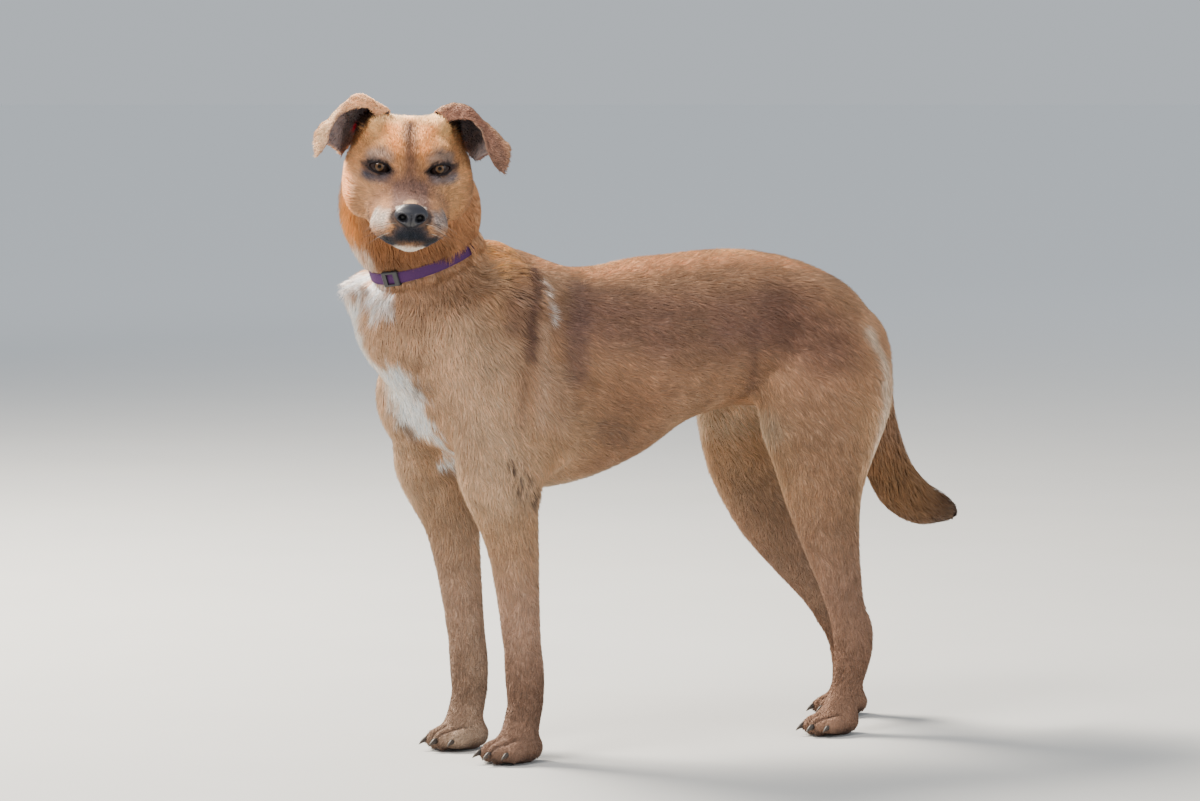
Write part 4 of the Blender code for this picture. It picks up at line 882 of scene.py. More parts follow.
# ---------------------------------------------------------------- the skin
def ring_radius(p):
    """Angle round the neck and the collar's radius there."""
    rel = p - COLLAR_AT
    rel = rel - (rel @ COLLAR_AXIS)[:, None] * COLLAR_AXIS
    v = np.arctan2(rel @ COLLAR_Y, rel @ COLLAR_X)
    turn = v - math.radians(BUCKLE_TURN)
    throat, half, nape = COLLAR_R
    c, s = np.cos(turn), np.sin(turn)
    return rel, 1 / np.hypot(c / np.where(c > 0, throat, nape), s / half)


def bump(h, at, size, high):
    """Height of a soft swelling, on both sides of the face."""
    m = np.stack([np.abs(h[:, 0]), h[:, 1], h[:, 2]], 1)
    return high * np.exp(-(((m - np.array(at)) / np.array(size)) ** 2).sum(1))


def sculpted(h, n):
    """The forms of the face, as moves along the normal."""
    m = np.stack([np.abs(h[:, 0]), h[:, 1], h[:, 2]], 1)
    a, f, u = m.T
    out = bump(h, (0.0255, 0.004, 0.0165), (0.010, 0.016, 0.0065), 0.0022)      # brow
    out += bump(h, (0.0334, 0.010, 0.0), (0.015, 0.014, 0.0095), -0.0020)       # hollow of the eye
    out += bump(h, (0.0150, 0.012, -0.006), (0.006, 0.012, 0.010), -0.0022)     # inner corner toward the bridge
    out += bump(h, (0.0530, -0.008, -0.014), (0.012, 0.018, 0.010), 0.0018)     # cheek bone
    out += bump(h, (0.0380, 0.012, -0.020), (0.010, 0.014, 0.006), 0.0010)      # below the eye
    out += bump(h, (0.0, 0.0, 0.004), (0.008, 0.016, 0.012), -0.0010)           # stop
    out += bump(h, (0.0590, -0.046, 0.041), (0.014, 0.026, 0.017), -0.0110)     # in front of the ear's root
    out += bump(h, (0.0180, -0.020, 0.036), (0.010, 0.020, 0.016), 0.0012)      # forehead, each side
    line = np.exp(-((a / 0.0030) ** 2)) * step(0.006, 0.018, u) * step(-0.075, -0.05, f)
    out -= 0.0016 * line
    out += bump(h, (0.0235, 0.074, -0.0520), (0.0085, 0.020, 0.0090), 0.0026)   # whisker pads
    out += bump(h, (0.0330, 0.050, -0.0560), (0.008, 0.018, 0.008), 0.0012)
    out += bump(h, (0.0130, 0.060, -0.0180), (0.0070, 0.030, 0.0080), 0.0006)   # edges of the bridge
    out += bump(h, (0.0, 0.074, -0.0790), (0.016, 0.016, 0.006), 0.0010)        # chin
    d, _ = chain(m, LIP)
    out -= 0.0030 * np.exp(-((d / 0.0020) ** 2)) * step(-0.0, 0.02, f)
    up, _ = chain(m, np.array(LIP) + np.array((0, 0.001, 0.0042)))
    out += 0.0010 * np.exp(-((up / 0.0030) ** 2)) * step(0.0, 0.02, f)
    cleft, _ = chain(m, [(0.0, 0.096, -0.050), (0.0, 0.0935, -0.0635)])
    out -= 0.0018 * np.exp(-((cleft / 0.0011) ** 2))
    corner, _ = chain(m, [(0.0435, 0.020, -0.0510), (0.050, 0.008, -0.0490)])
    out -= 0.0022 * np.exp(-((corner / 0.0028) ** 2))
    return h + out[:, None] * n


def toe_lines(p):
    """1 in the grooves between the toes."""
    out = np.zeros(len(p))
    for (xs, ys), s in (((FORE_X, FORE_Y), 1.0), ((HIND_X, HIND_Y), 0.94)):
        for x0, y0 in zip(xs, ys):
            q = (p - np.array((x0, y0, 0))) / s
            for dx, lean in ((0.0, 0.0), (-0.0165, -0.25), (0.0165, 0.25)):
                across = q[:, 0] - dx - lean * (q[:, 1] + 0.02)
                reach = step(-0.010, -0.022, q[:, 1]) if dx == 0 else step(0.0, -0.014, q[:, 1])
                out += np.exp(-((across / 0.0021) ** 2)) * reach * step(0.034, 0.026, q[:, 2]) * (np.abs(q[:, 0]) < 0.04) * (q[:, 1] > -0.06)
    return np.minimum(out, 1)


def toes_parted(p, n):
    """Grooves between the toes."""
    return p - (0.0036 * toe_lines(p))[:, None] * n


def make_skin():
    obj = flesh((trunk, neck, head, forelegs, hind_legs, tail), FUSE)

    def of_head(p):
        h = to_head(p)
        return ((h[:, 1] > -0.075) & (p[:, 2] > 0.585) & (h[:, 2] > -0.11) & (np.abs(h[:, 0]) < 0.12)) | (p[:, 2] < 0.050)

    def of_face(p):
        h = to_head(p)
        return (h[:, 1] > -0.028) & (h[:, 2] > -0.084) & (h[:, 2] < 0.045) & (np.abs(h[:, 0]) < 0.060)

    def of_muzzle(p):
        h = to_head(p)
        m = np.stack([np.abs(h[:, 0]), h[:, 1], h[:, 2]], 1)
        return (h[:, 1] > 0.02) & ((chain(m, LIP)[0] < 0.009) | (chain(m, [(0, 0.096, -0.045), (0, 0.0925, -0.066)])[0] < 0.009))

    for chosen, rounds in ((of_head, 2), (of_face, 2), (of_muzzle, 1)):
        refined(obj, chosen, rounds)
    v, t = arrays_of(obj)
    bpy.data.objects.remove(obj, do_unlink=True)
    n = normals_of(v, t)
    depth = depth_of(v, n)
    v = v - depth[:, None] * n
    v = eased(v, t, 2, 0.3 * step(0.10, 0.2, v[:, 2]) * (1 - regions(v)["head"]))
    # under the collar the skin meets the inside of the strap
    rel, ring = ring_radius(v)
    above = (v - COLLAR_AT) @ COLLAR_AXIS
    r = np.linalg.norm(rel, axis=1)
    want = ring - STRAP_T + 0.0006 - 0.0008
    w = step(0.013, 0.0075, np.abs(above)) * (v[:, 1] < -0.12) * (r < 0.12)
    v = v + rel * ((w * (want - r)) / np.maximum(r, 1e-6))[:, None]
    # the face
    n = normals_of(v, t)
    h, nh = to_head(v), n @ HR
    hw = regions(v)["head"] * step(-0.075, -0.055, h[:, 1])
    h = h + (sculpted(h, nh) - h) * hw[:, None]
    v = from_head(h)
    v = toes_parted(v, n)
    v[:, 2] = np.maximum(v[:, 2], 0.0)
    return v, t


def cast(tree, x, u):
    """How far forward the face stands at x, u of the head frame."""
    out = np.empty(len(x))
    way = Vector((0, -1, 0))
    for i, (a, b) in enumerate(zip(x, u)):
        hit = tree.ray_cast(Vector((a, 0.15, b)), way)
        out[i] = hit[0].y if hit[0] is not None else 0.0
    return out


def lid_patch(side, tree, around=72):
    """The eyelids and the hair round them as rings from the rim of the opening out to the face."""
    rows = np.array((0.0, 0.022, 0.05, 0.09, 0.14, 0.20, 0.28, 0.37, 0.47, 0.58, 0.70, 0.82, 0.92, 1.0))
    t = np.linspace(0, 2 * math.pi, around, endpoint=False)
    cx, sx = np.cos(t), np.sin(t)
    # the opening is where lid_measure is 1
    rim = np.stack([cx * LID_W, sx * np.where(sx > 0, LID_UP, LID_DOWN)], 1)
    for _ in range(12):
        probe = np.stack([side * (PUPIL_X + rim[:, 0]), np.zeros(around), PUPIL_U + rim[:, 1] + LID_SLANT * rim[:, 0]], 1)
        rim = rim / lid_measure(probe, side)[:, None] ** 0.8
    outer = np.stack([cx * 0.0215, sx * np.where(sx > 0, 0.0150, 0.0140)], 1)
    v = []
    for r in rows:
        q = rim + (outer - rim) * r
        x = PUPIL_X + q[:, 0]
        u = PUPIL_U + q[:, 1] + LID_SLANT * q[:, 0] * (1 - 0.6 * r)
        skin_f = cast(tree, side * x, u)
        d2 = (x - PUPIL_X) ** 2 + (u - PUPIL_U) ** 2
        round_f = PUPIL_F + np.sqrt(np.maximum((EYE_R + 0.0013) ** 2 - d2, 0.003**2))
        lid = np.maximum(round_f, skin_f - 0.0030)
        f = lid + (skin_f - lid) * step(0.12, 0.85, r)
        if r == 0.0:
            f = np.maximum(PUPIL_F + np.sqrt(np.maximum((EYE_R + 0.0001) ** 2 - d2, 0.002**2)), skin_f - 0.0048)
        elif r < 0.03:
            f = f - 0.0004
        f = f + 0.0007 * math.exp(-(((r - 0.16) / 0.09) ** 2)) * np.clip(sx, 0.2, 1)     # the lid stands proud
        f = f - 0.0009 * math.exp(-(((r - 0.40) / 0.08) ** 2)) * np.clip(sx, 0, 1)       # fold above it
        f = f - 0.0006 * math.exp(-(((r - 0.48) / 0.10) ** 2)) * np.clip(-sx, 0, 1)
        f = f + 0.00025 * step(1.0, 0.8, r) - 0.0004 * step(0.85, 1.0, r)
        v.append(np.stack([side * x, f, u], 1))
    v = np.concatenate(v)
    faces = []
    for i in range(len(rows) - 1):
        for k in range(around):
            a, b = i * around + k, i * around + (k + 1) % around
            c, d = a + around, b + around
            faces += [(a, c, d), (a, d, b)] if side > 0 else [(a, d, c), (a, b, d)]
    faces, v = np.array(faces), from_head(v)
    if (normals_of(v, faces) @ HR[:, 1]).mean() < 0:
        faces = faces[:, ::-1]
    return v, faces


def ear_shell(side):
    """The leather of one ear: both faces and the rim. Returns points, triangles, a row for each point: 1 outer face,
    -1 inner face, and how far out it lies and how far over the fold."""
    grid = ear_sheet(side, sink=0.0018, along=6, across=8)
    n, k = grid.shape[:2]
    du = np.gradient(grid, axis=0)
    dv = np.gradient(grid, axis=1)
    nn = unit(np.cross(du, dv))
    # the outer face of the wall looks backward
    if (nn[:, : k // 3, 1]).mean() > 0:
        nn = -nn
    i, j = np.meshgrid(np.linspace(0, 1, n), np.linspace(0, 1, k), indexing="ij")
    soft = noise(grid.reshape(-1, 3) + side, 0.016, 41).reshape(n, k) * 0.0006
    grid = grid + nn * soft[..., None]
    thick = 0.0011 * (1 - 0.45 * step(0.8, 1.0, j)) * (1 - 0.4 * step(0.85, 1.0, i))
    outer = grid + nn * thick[..., None]
    inner = grid - nn * thick[..., None]
    v = np.concatenate([outer.reshape(-1, 3), inner.reshape(-1, 3)])
    idx = np.arange(n * k).reshape(n, k)
    a, b, c, d = idx[:-1, :-1].ravel(), idx[1:, :-1].ravel(), idx[1:, 1:].ravel(), idx[:-1, 1:].ravel()
    f = np.concatenate([np.stack([a, b, c], 1), np.stack([a, c, d], 1)])
    m = n * k
    test = normals_of(v[:m], f)
    if (test * nn.reshape(-1, 3)).sum() < 0:
        f = f[:, ::-1]
    faces = [f, f[:, ::-1] + m]
    loop = np.concatenate([idx[0, :], idx[1:, -1], idx[-1, -2::-1], idx[-2:0:-1, 0]])
    p, q = loop, np.roll(loop, -1)
    edge = np.concatenate([np.stack([p, q, q + m], 1), np.stack([p, q + m, p + m], 1)])
    e = np.cross(v[edge[:, 1]] - v[edge[:, 0]], v[edge[:, 2]] - v[edge[:, 0]])
    mid = v[edge].mean(1)
    centre = v.mean(0)
    if (e * (mid - centre)).sum() < 0:
        edge = edge[:, ::-1]
    faces.append(edge)
    facts = np.stack([np.concatenate([np.ones(m), -np.ones(m)]), np.tile(i.ravel(), 2), np.tile(j.ravel(), 2)], 1)
    return from_head(v), np.concatenate(faces)[:, ::-1], facts      # the head frame is left-handed


def ear_colour(p, side, outer, along, across):
    grain = noise(p, 0.010, 51, 2)
    # outer faces as lit and shaded copies: the right ear painted lighter as sunlit, the left darker as in shade
    out = np.tile(lin(*((148, 104, 82) if side > 0 else (214, 162, 116))), (len(p), 1))
    out = blend(out, (132, 98, 78), 0.8 * step(0.45, 0.8, along) * step(0.55, 0.8, across) * (1.0 if side > 0 else 0.35))
    out = blend(out, (216, 166, 120), 0.5 * np.exp(-(((across - 0.55) / 0.10) ** 2)))
    # painted sunlight: the flap of the right ear pale cream
    if side < 0:
        out = blend(out, (238, 194, 150), 0.85 * step(0.45, 0.7, across) * step(0.35, 0.6, along))
    out = blend(out, (108, 78, 62), 0.6 * step(0.90, 1.0, across) * step(0.2, 0.5, along))
    # inner faces as lit and shaded copies: lighter in the right ear, darker in the left
    inn = np.tile(lin(*((104, 92, 88) if side > 0 else (136, 119, 112))), (len(p), 1))
    inn = blend(inn, (150, 124, 108), 0.5 * step(0.5, 0.2, across) * (0.5 + 0.5 * noise(p, 0.006, 52)))
    inn = blend(inn, (170, 130, 100), 0.7 * step(0.86, 1.0, across))
    inn = blend(inn, (70, 58, 62), 0.6 * np.exp(-(((across - 0.35) / 0.15) ** 2)) * step(0.5, 0.3, along))
    if side < 0:
        inn = blend(inn, (225, 30, 56), 0.97 * np.exp(-(((along - 0.31) / 0.034) ** 2 + ((across - 0.17) / 0.05) ** 2) ** 1.5))
    w = (outer > 0).astype(float)[:, None]
    return bright((out * w + inn * (1 - w)) * (1 + 0.08 * grain)[:, None] * GAIN)


# ---------------------------------------------------------------- materials
def principled(name, rough=0.6):
    m = bpy.data.materials.new(name)
    m.use_nodes = True
    b = m.node_tree.nodes["Principled BSDF"]
    b.inputs["Roughness"].default_value = rough
    return m, m.node_tree, b


def add(tree, kind, **values):
    node = tree.nodes.new(kind)
    for key, value in values.items():
        if key in node.inputs:
            node.inputs[key].default_value = value
        else:
            setattr(node, key, value)
    return node


def painted(name, rough, grain, low, high, bump=0.0, bump_scale=900.0, spec=0.3, stretch=None):
    """A material from the piece's own painted colour, varied by fine noise."""
    m, tree, b = principled(name, rough)
    link = tree.links.new
    b.inputs["Specular IOR Level"].default_value = spec
    paint = add(tree, "ShaderNodeAttribute", attribute_name="paint")
    place = add(tree, "ShaderNodeTexCoord")
    turn = add(tree, "ShaderNodeMapping")
    if stretch:
        turn.inputs["Scale"].default_value = stretch
    link(place.outputs["Object"], turn.inputs["Vector"])
    fine = add(tree, "ShaderNodeTexNoise", Scale=grain, Detail=3.0)
    link(turn.outputs["Vector"], fine.inputs["Vector"])
    span = add(tree, "ShaderNodeMapRange")
    span.inputs["To Min"].default_value, span.inputs["To Max"].default_value = low, high
    link(fine.outputs["Fac"], span.inputs["Value"])
    mix = add(tree, "ShaderNodeVectorMath", operation="SCALE")
    link(paint.outputs["Color"], mix.inputs[0])
    link(span.outputs["Result"], mix.inputs["Scale"])
    link(mix.outputs["Vector"], b.inputs["Base Color"])
    if bump:
        rough_noise = add(tree, "ShaderNodeTexNoise", Scale=bump_scale, Detail=2.0)
        link(turn.outputs["Vector"], rough_noise.inputs["Vector"])
        node = add(tree, "ShaderNodeBump", Strength=bump, Distance=0.0006)
        link(rough_noise.outputs["Fac"], node.inputs["Height"])
        link(node.outputs["Normal"], b.inputs["Normal"])
    return m


def paint(obj, colours):
    """Gives every point of the mesh its colour."""
    me = obj.data
    layer = me.color_attributes.new("paint", "FLOAT_COLOR", "POINT")
    c = np.ones((len(me.vertices), 4), np.float32)
    c[:, :3] = colours
    layer.data.foreach_set("color", c.ravel())


def placed(obj, mat, slot, *nodes):
    obj.data.materials.append(mat)
    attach(obj, "root")
    if nodes:
        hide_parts(*nodes)
    return obj


# ---------------------------------------------------------------- build the skin
skin_v, skin_t = make_skin()
kind = np.zeros(len(skin_v), int)
head_tree = BVHTree.FromPolygons(to_head(skin_v).tolist(), skin_t.tolist())
patches = [lid_patch(side, head_tree) for side in (1, -1)]
h = to_head(skin_v)
for side in (1, -1):
    e = lid_measure(h, side)
    back = (1 - step(1.25, 2.0, e)) * (h[:, 1] > PUPIL_F - 0.005)
    h[:, 1] -= back * (h[:, 1] - (PUPIL_F - 0.004))
skin_v = from_head(h)
base_count = len(skin_v)
base_tris = len(skin_t)
body_tree = BVHTree.FromPolygons(skin_v.tolist(), skin_t.tolist())
facts = np.zeros((base_count, 3))
all_v, all_t, all_k, all_f = [skin_v], [skin_t], [kind], [facts]
total = base_count
for n_, (pv, pt) in enumerate(patches):
    all_v.append(pv)
    all_t.append(pt + total)
    all_k.append(np.full(len(pv), 1))
    all_f.append(np.zeros((len(pv), 3)))
    total += len(pv)
for side in (1, -1):
    ev, et, ef = ear_shell(side)
    all_v.append(ev)
    all_t.append(et + total)
    all_k.append(np.full(len(ev), 2 if side > 0 else 3))
    all_f.append(ef)
    total += len(ev)
skin_v, skin_t, kind, facts = (np.concatenate(a) for a in (all_v, all_t, all_k, all_f))
skin_n = normals_of(skin_v, skin_t)


def colour_of(p, k, fact):
    c = coat_colour(p)
    for value, side in ((2, 1), (3, -1)):
        pick = k == value
        if pick.any():
            c[pick] = ear_colour(p[pick], side, fact[pick, 0], fact[pick, 1], fact[pick, 2])
    return c


skin_c = colour_of(skin_v, kind, facts)
skin = object_of("skin", skin_v, skin_t)
paint(skin, skin_c * 0.92)
coat_skin = painted("coat_skin", 0.75, 420.0, 0.86, 1.10, bump=0.5, bump_scale=1400.0, spec=0.15)
FLESH = [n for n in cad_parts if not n.startswith(("claw", "collar", "eye", "nose"))]
placed(skin, coat_skin, "coat_body", *FLESH)
print("skin", len(skin_t), "triangles")


# ---------------------------------------------------------------- eyes
CAMERA_AT = np.array((math.sin(math.radians(57)) * 6, -math.cos(math.radians(57)) * 6, 0.85))


def outward(v, faces, centre):
    """The faces turned so that they look away from the centre."""
    faces = np.array(faces)
    return faces if (normals_of(v, faces) * (v - centre)).sum() > 0 else faces[:, ::-1]


def grid_faces(rows, around, closed=True):
    faces = []
    for i in range(rows - 1):
        for k in range(around if closed else around - 1):
            a, b = i * around + k, i * around + (k + 1) % around
            faces.append((a, b, b + around, a + around))
    return faces


def eyeball(side, name, node):
    """A whole eyeball: cornea, iris with its fibres, pupil, and the brown white at the corners."""
    centre = np.array((side * PUPIL_X, PUPIL_F, PUPIL_U))
    axis = unit(to_head(CAMERA_AT[None])[0] - centre)
    one = unit(np.cross(axis, (0, 0, 1.0)))
    two = np.cross(one, axis)
    around = 64
    turns = np.radians(np.concatenate([np.arange(0.5, 46, 1.3), np.linspace(48, 179, 26)]))
    v, c = [], []
    t = np.linspace(0, 2 * math.pi, around, endpoint=False)
    fibre = 0.5 + 0.25 * np.sin(t * 23 + side) + 0.25 * np.sin(t * 37 + 2)
    for a in turns:
        deg = math.degrees(a)
        r = EYE_R + 0.0007 * math.exp(-((deg / 24) ** 2))
        ring = centre + r * (math.cos(a) * axis + math.sin(a) * (np.cos(t)[:, None] * one + np.sin(t)[:, None] * two))
        v.append(ring)
        base = lin(84, 62, 43) * (1 - step(20.5, 25, deg)) + lin(26, 18, 16) * step(20.5, 25, deg)
        base = base * (0.72 + 0.34 * fibre[:, None] * step(8.5, 12, deg)) * (0.75 + 0.35 * step(9, 15, deg))
        white = lin(44, 33, 30)
        base = base * (1 - step(27, 34, deg)) + white * step(27, 34, deg)
        base = base * step(8.4, 10.2, deg) + lin(6, 5, 6) * (1 - step(8.4, 10.2, deg))
        c.append(np.broadcast_to(base, (around, 3)))
    tips = np.array([centre + axis * (EYE_R + 0.0007), centre - axis * EYE_R])
    verts = np.concatenate(v + [tips])
    quads = grid_faces(len(turns), around)
    tris = []
    for a, b, c_, d in quads:
        tris += [(a, b, c_), (a, c_, d)]
    top, low, last = len(verts) - 2, len(verts) - 1, (len(turns) - 1) * around
    for k in range(around):
        tris.append((top, (k + 1) % around, k))
        tris.append((low, last + k, last + (k + 1) % around))
    tris = outward(from_head(verts), tris, from_head(centre[None])[0])
    obj = object_of(name, from_head(verts), tris)
    paint(obj, np.concatenate(c + [np.array([lin(6, 5, 6), white])]))
    placed(obj, eye_mat, "eye", node)


eye_mat = painted("eye", 0.05, 900.0, 0.9, 1.1, spec=0.12)
eye_mat.node_tree.nodes["Principled BSDF"].inputs["Coat Weight"].default_value = 0.16
eye_mat.node_tree.nodes["Principled BSDF"].inputs["Coat Roughness"].default_value = 0.03
eyeball(1, "eyeball_left", "eye_left")
eyeball(-1, "eyeball_right", "eye_right")


# ---------------------------------------------------------------- nose leather
def make_nose():
    around, rows = 112, 72
    t = np.linspace(0, 2 * math.pi, around, endpoint=False)
    v = []
    for a in np.linspace(0.02, math.pi - 0.02, rows):
        d = np.stack([np.sin(a) * np.cos(t), np.full(around, np.cos(a)), np.sin(a) * np.sin(t)], 1)
        d = np.sign(d) * np.abs(d) ** np.array((0.92, 0.85, 0.90))
        v.append(d * np.array((0.0178, 0.0118, 0.0132)))
    v = np.concatenate(v)
    x, f, u = v.T
    a = np.abs(x)
    front = step(-0.002, 0.004, f)
    # narrower below, flat in front, the top edge rolled back
    x = x * (1 - 0.26 * step(0.0, -0.0130, u))
    f = np.where(f > 0, f * (0.90 + 0.10 * (1 - (a / 0.0195) ** 2)), f)
    f = f - 0.0022 * step(0.004, 0.0125, u) * front
    hole = np.exp(-(((a - 0.0092) / 0.0041) ** 2 + ((u + 0.0014) / 0.0038) ** 2) ** 1.6)
    slit = np.exp(-(((a - 0.0140) / 0.0034) ** 2 + ((u + 0.0034 - 0.15 * (a - 0.014)) / 0.0011) ** 2))
    rim = np.exp(-((np.sqrt(((a - 0.0094) / 1.05) ** 2 + (u + 0.0014) ** 2) - 0.0061) / 0.0012) ** 2)
    cleft = np.exp(-((a / 0.0008) ** 2)) * step(0.0045, 0.001, u)
    f = f + front * (0.0008 * rim - 0.0078 * hole - 0.0026 * slit - 0.0012 * cleft)
    x = x + np.sign(x) * 0.0006 * np.exp(-(((a - 0.0165) / 0.004) ** 2 + ((u - 0.001) / 0.006) ** 2))
    verts = np.stack([x, f - 0.0015, u], 1) + NOSE_AT
    tips = np.array([[0, v[:, 1].max() * 0.985, 0], [0, -0.0118, 0]]) + NOSE_AT
    verts = np.concatenate([verts, tips])
    tris = []
    for p, q, r, s in grid_faces(rows, around):
        tris += [(p, q, r), (p, r, s)]
    top, low, last = len(verts) - 2, len(verts) - 1, (rows - 1) * around
    for k in range(around):
        tris.append((top, (k + 1) % around, k))
        tris.append((low, last + k, last + (k + 1) % around))
    obj = object_of("nose_pad", from_head(verts), outward(from_head(verts), tris, from_head(NOSE_AT[None])[0]))
    q = verts - NOSE_AT
    c = np.tile(lin(38, 38, 46), (len(verts), 1))
    # painted shade in the nostrils, near black
    dark = np.concatenate([hole * front, [0, 0]])
    c = blend(c, (8, 7, 8), dark * 1.5)
    # painted shade: the lower part of the nose darker
    c = blend(c, (34, 33, 38), 0.7 * step(0.0, -0.010, q[:, 2]))
    paint(obj, c)
    mat = painted("nose_leather", 0.38, 700.0, 0.7, 1.2, spec=0.5)
    tree = mat.node_tree
    b = tree.nodes["Principled BSDF"]
    cells = add(tree, "ShaderNodeTexVoronoi", Scale=900.0, feature="DISTANCE_TO_EDGE")
    place = add(tree, "ShaderNodeTexCoord")
    tree.links.new(place.outputs["Object"], cells.inputs["Vector"])
    node = add(tree, "ShaderNodeBump", Strength=0.5, Distance=0.0003)
    tree.links.new(cells.outputs["Distance"], node.inputs["Height"])
    tree.links.new(node.outputs["Normal"], b.inputs["Normal"])
    placed(obj, mat, "nose_leather", "nose")


make_nose()



# ---------------------------------------------------------------- whiskers
def make_whiskers():
    v, f, c = [], [], []
    r = np.random.default_rng(88)
    made = 0
    rows, around = 8, 5
    roots = [(0.016 + 0.0045 * i + 0.001 * j, 0.0, -0.045 - 0.0055 * j) for j in range(3) for i in range(4)]
    roots += [(0.024, 0.0, 0.0215), (0.028, 0.0, 0.0225), (0.010, 0.0, -0.0765), (0.016, 0.0, -0.0765)]
    for side in (1, -1):
        for n, (x, _, u) in enumerate(roots):
            hit = head_tree.ray_cast(Vector((side * x, 0.16, u)), Vector((0, -1, 0)))
            if hit[0] is None:
                continue
            root = np.array(hit[0])
            brow = u > 0
            chin = u < -0.07
            long_ = (0.013 if brow else 0.011 if chin else 0.026) * r.uniform(0.75, 1.15)
            way = unit(np.array((side * (0.25 if brow else 0.3 if chin else 0.95), 0.9 if brow else 0.5 if chin else 0.42, 0.5 if brow else -0.8 if chin else -0.10)) + r.normal(0, 0.10, 3))
            droop = np.array((0, -0.35 if not brow else -0.2, -0.30 if not brow else 0.1))
            one = unit(np.cross(way, (0.2, 0.3, 1.0)))
            two = np.cross(way, one)
            t = np.linspace(0, 2 * math.pi, around, endpoint=False)
            for k in range(rows):
                q = k / (rows - 1)
                mid = root + long_ * (way * (q - 0.03) + droop * q * q)
                size = 0.00024 * (1 - q) + 0.00003
                v.append(mid + size * (np.cos(t)[:, None] * one + np.sin(t)[:, None] * two))
            base = made * rows * around
            for a, b, d, e in grid_faces(rows, around):
                f += [(base + a, base + b, base + d), (base + a, base + d, base + e)]
            for k in range(1, around - 1):
                f.append((base, base + k + 1, base + k))
                last = base + (rows - 1) * around
                f.append((last, last + k, last + k + 1))
            c.append(np.tile(lin(58, 50, 48) if n % 3 else lin(176, 164, 150), (rows * around, 1)))
            made += 1
    verts = from_head(np.concatenate(v))
    f = np.array(f)
    whole = np.concatenate(v).reshape(made, rows * around, 3).mean(1)
    centre = from_head(np.repeat(whole, rows * around, 0))
    if (normals_of(verts, f) * (verts - centre)).sum() < 0:
        f = f[:, ::-1]
    obj = object_of("whiskers", verts, f)
    paint(obj, np.concatenate(c))
    placed(obj, painted("whisker", 0.45, 400.0, 0.9, 1.1, spec=0.3), "coat_head")


make_whiskers()


# ---------------------------------------------------------------- claws
def make_claws():
    v, f, c = [], [], []
    nodes = []
    for word, feet in (("fore", (FORE_X, FORE_Y, 1.0)), ("hind", (HIND_X, HIND_Y, 0.94))):
        for n, lr in enumerate(("left", "right")):
            x, y, s = feet[0][n], feet[1][n], feet[2]
            for t, (dx, dy, r) in enumerate(TOES):
                nodes.append(f"claw_{word}_{lr}_{t + 1}")
                way = unit(np.array((dx * 6, -1, 0)))
                side = np.array((-way[1], way[0], 0))
                root = np.array((x + dx * s, y + dy * s, 0.0128 * s)) + way * (0.0195 * r * s - 0.0062)
                around, rows = 12, 9
                base = len(np.concatenate(v)) if v else 0
                for k in range(rows):
                    q = k / (rows - 1)
                    size = 0.0034 * (1 - q**1.8) ** 0.8 + 0.00015
                    mid = root + way * (0.0108 * q) + np.array((0, 0, -0.0058 * q * q + 0.0005))
                    a = np.linspace(0, 2 * math.pi, around, endpoint=False)
                    v.append(mid + 0.72 * size * np.cos(a)[:, None] * side + size * np.sin(a)[:, None] * np.array((0, 0, 1.0)))
                    c.append(np.tile(lin(46, 40, 38) * (1 - q) + lin(74, 64, 56) * q, (around, 1)))
                f += [tuple(base + w for w in q) for q in grid_faces(rows, around)]
                ends = [base + k for k in range(around)], [base + (rows - 1) * around + k for k in range(around)]
                for loop in ends:
                    for k in range(1, around - 1):
                        f.append((loop[0], loop[k], loop[k + 1], loop[k + 1]))
    verts = np.concatenate(v)
    bm = bmesh.new()
    made = [bm.verts.new(Vector(p + SHIFT)) for p in verts]
    for q in f:
        q = list(dict.fromkeys(q))
        bm.faces.new([made[k] for k in q])
    obj = new_object("claws", bm)
    obj.data.shade_smooth()
    paint(obj, np.concatenate(c))
    placed(obj, painted("claw", 0.42, 500.0, 0.75, 1.15, bump=0.3, bump_scale=700.0, spec=0.4), "claw", *nodes)


make_claws()


# ---------------------------------------------------------------- collar
def ring_point(turn, off, height):
    """A point of the collar: turn from the buckle, off outward from the strap's middle line, height along the neck."""
    throat, half, nape = COLLAR_R
    c, s = math.cos(turn), math.sin(turn)
    r = 1 / math.hypot(c / (throat if c > 0 else nape), s / half)
    v = math.radians(BUCKLE_TURN) + turn
    return COLLAR_AT + (COLLAR_X * math.cos(v) + COLLAR_Y * math.sin(v)) * (r + off) + COLLAR_AXIS * height


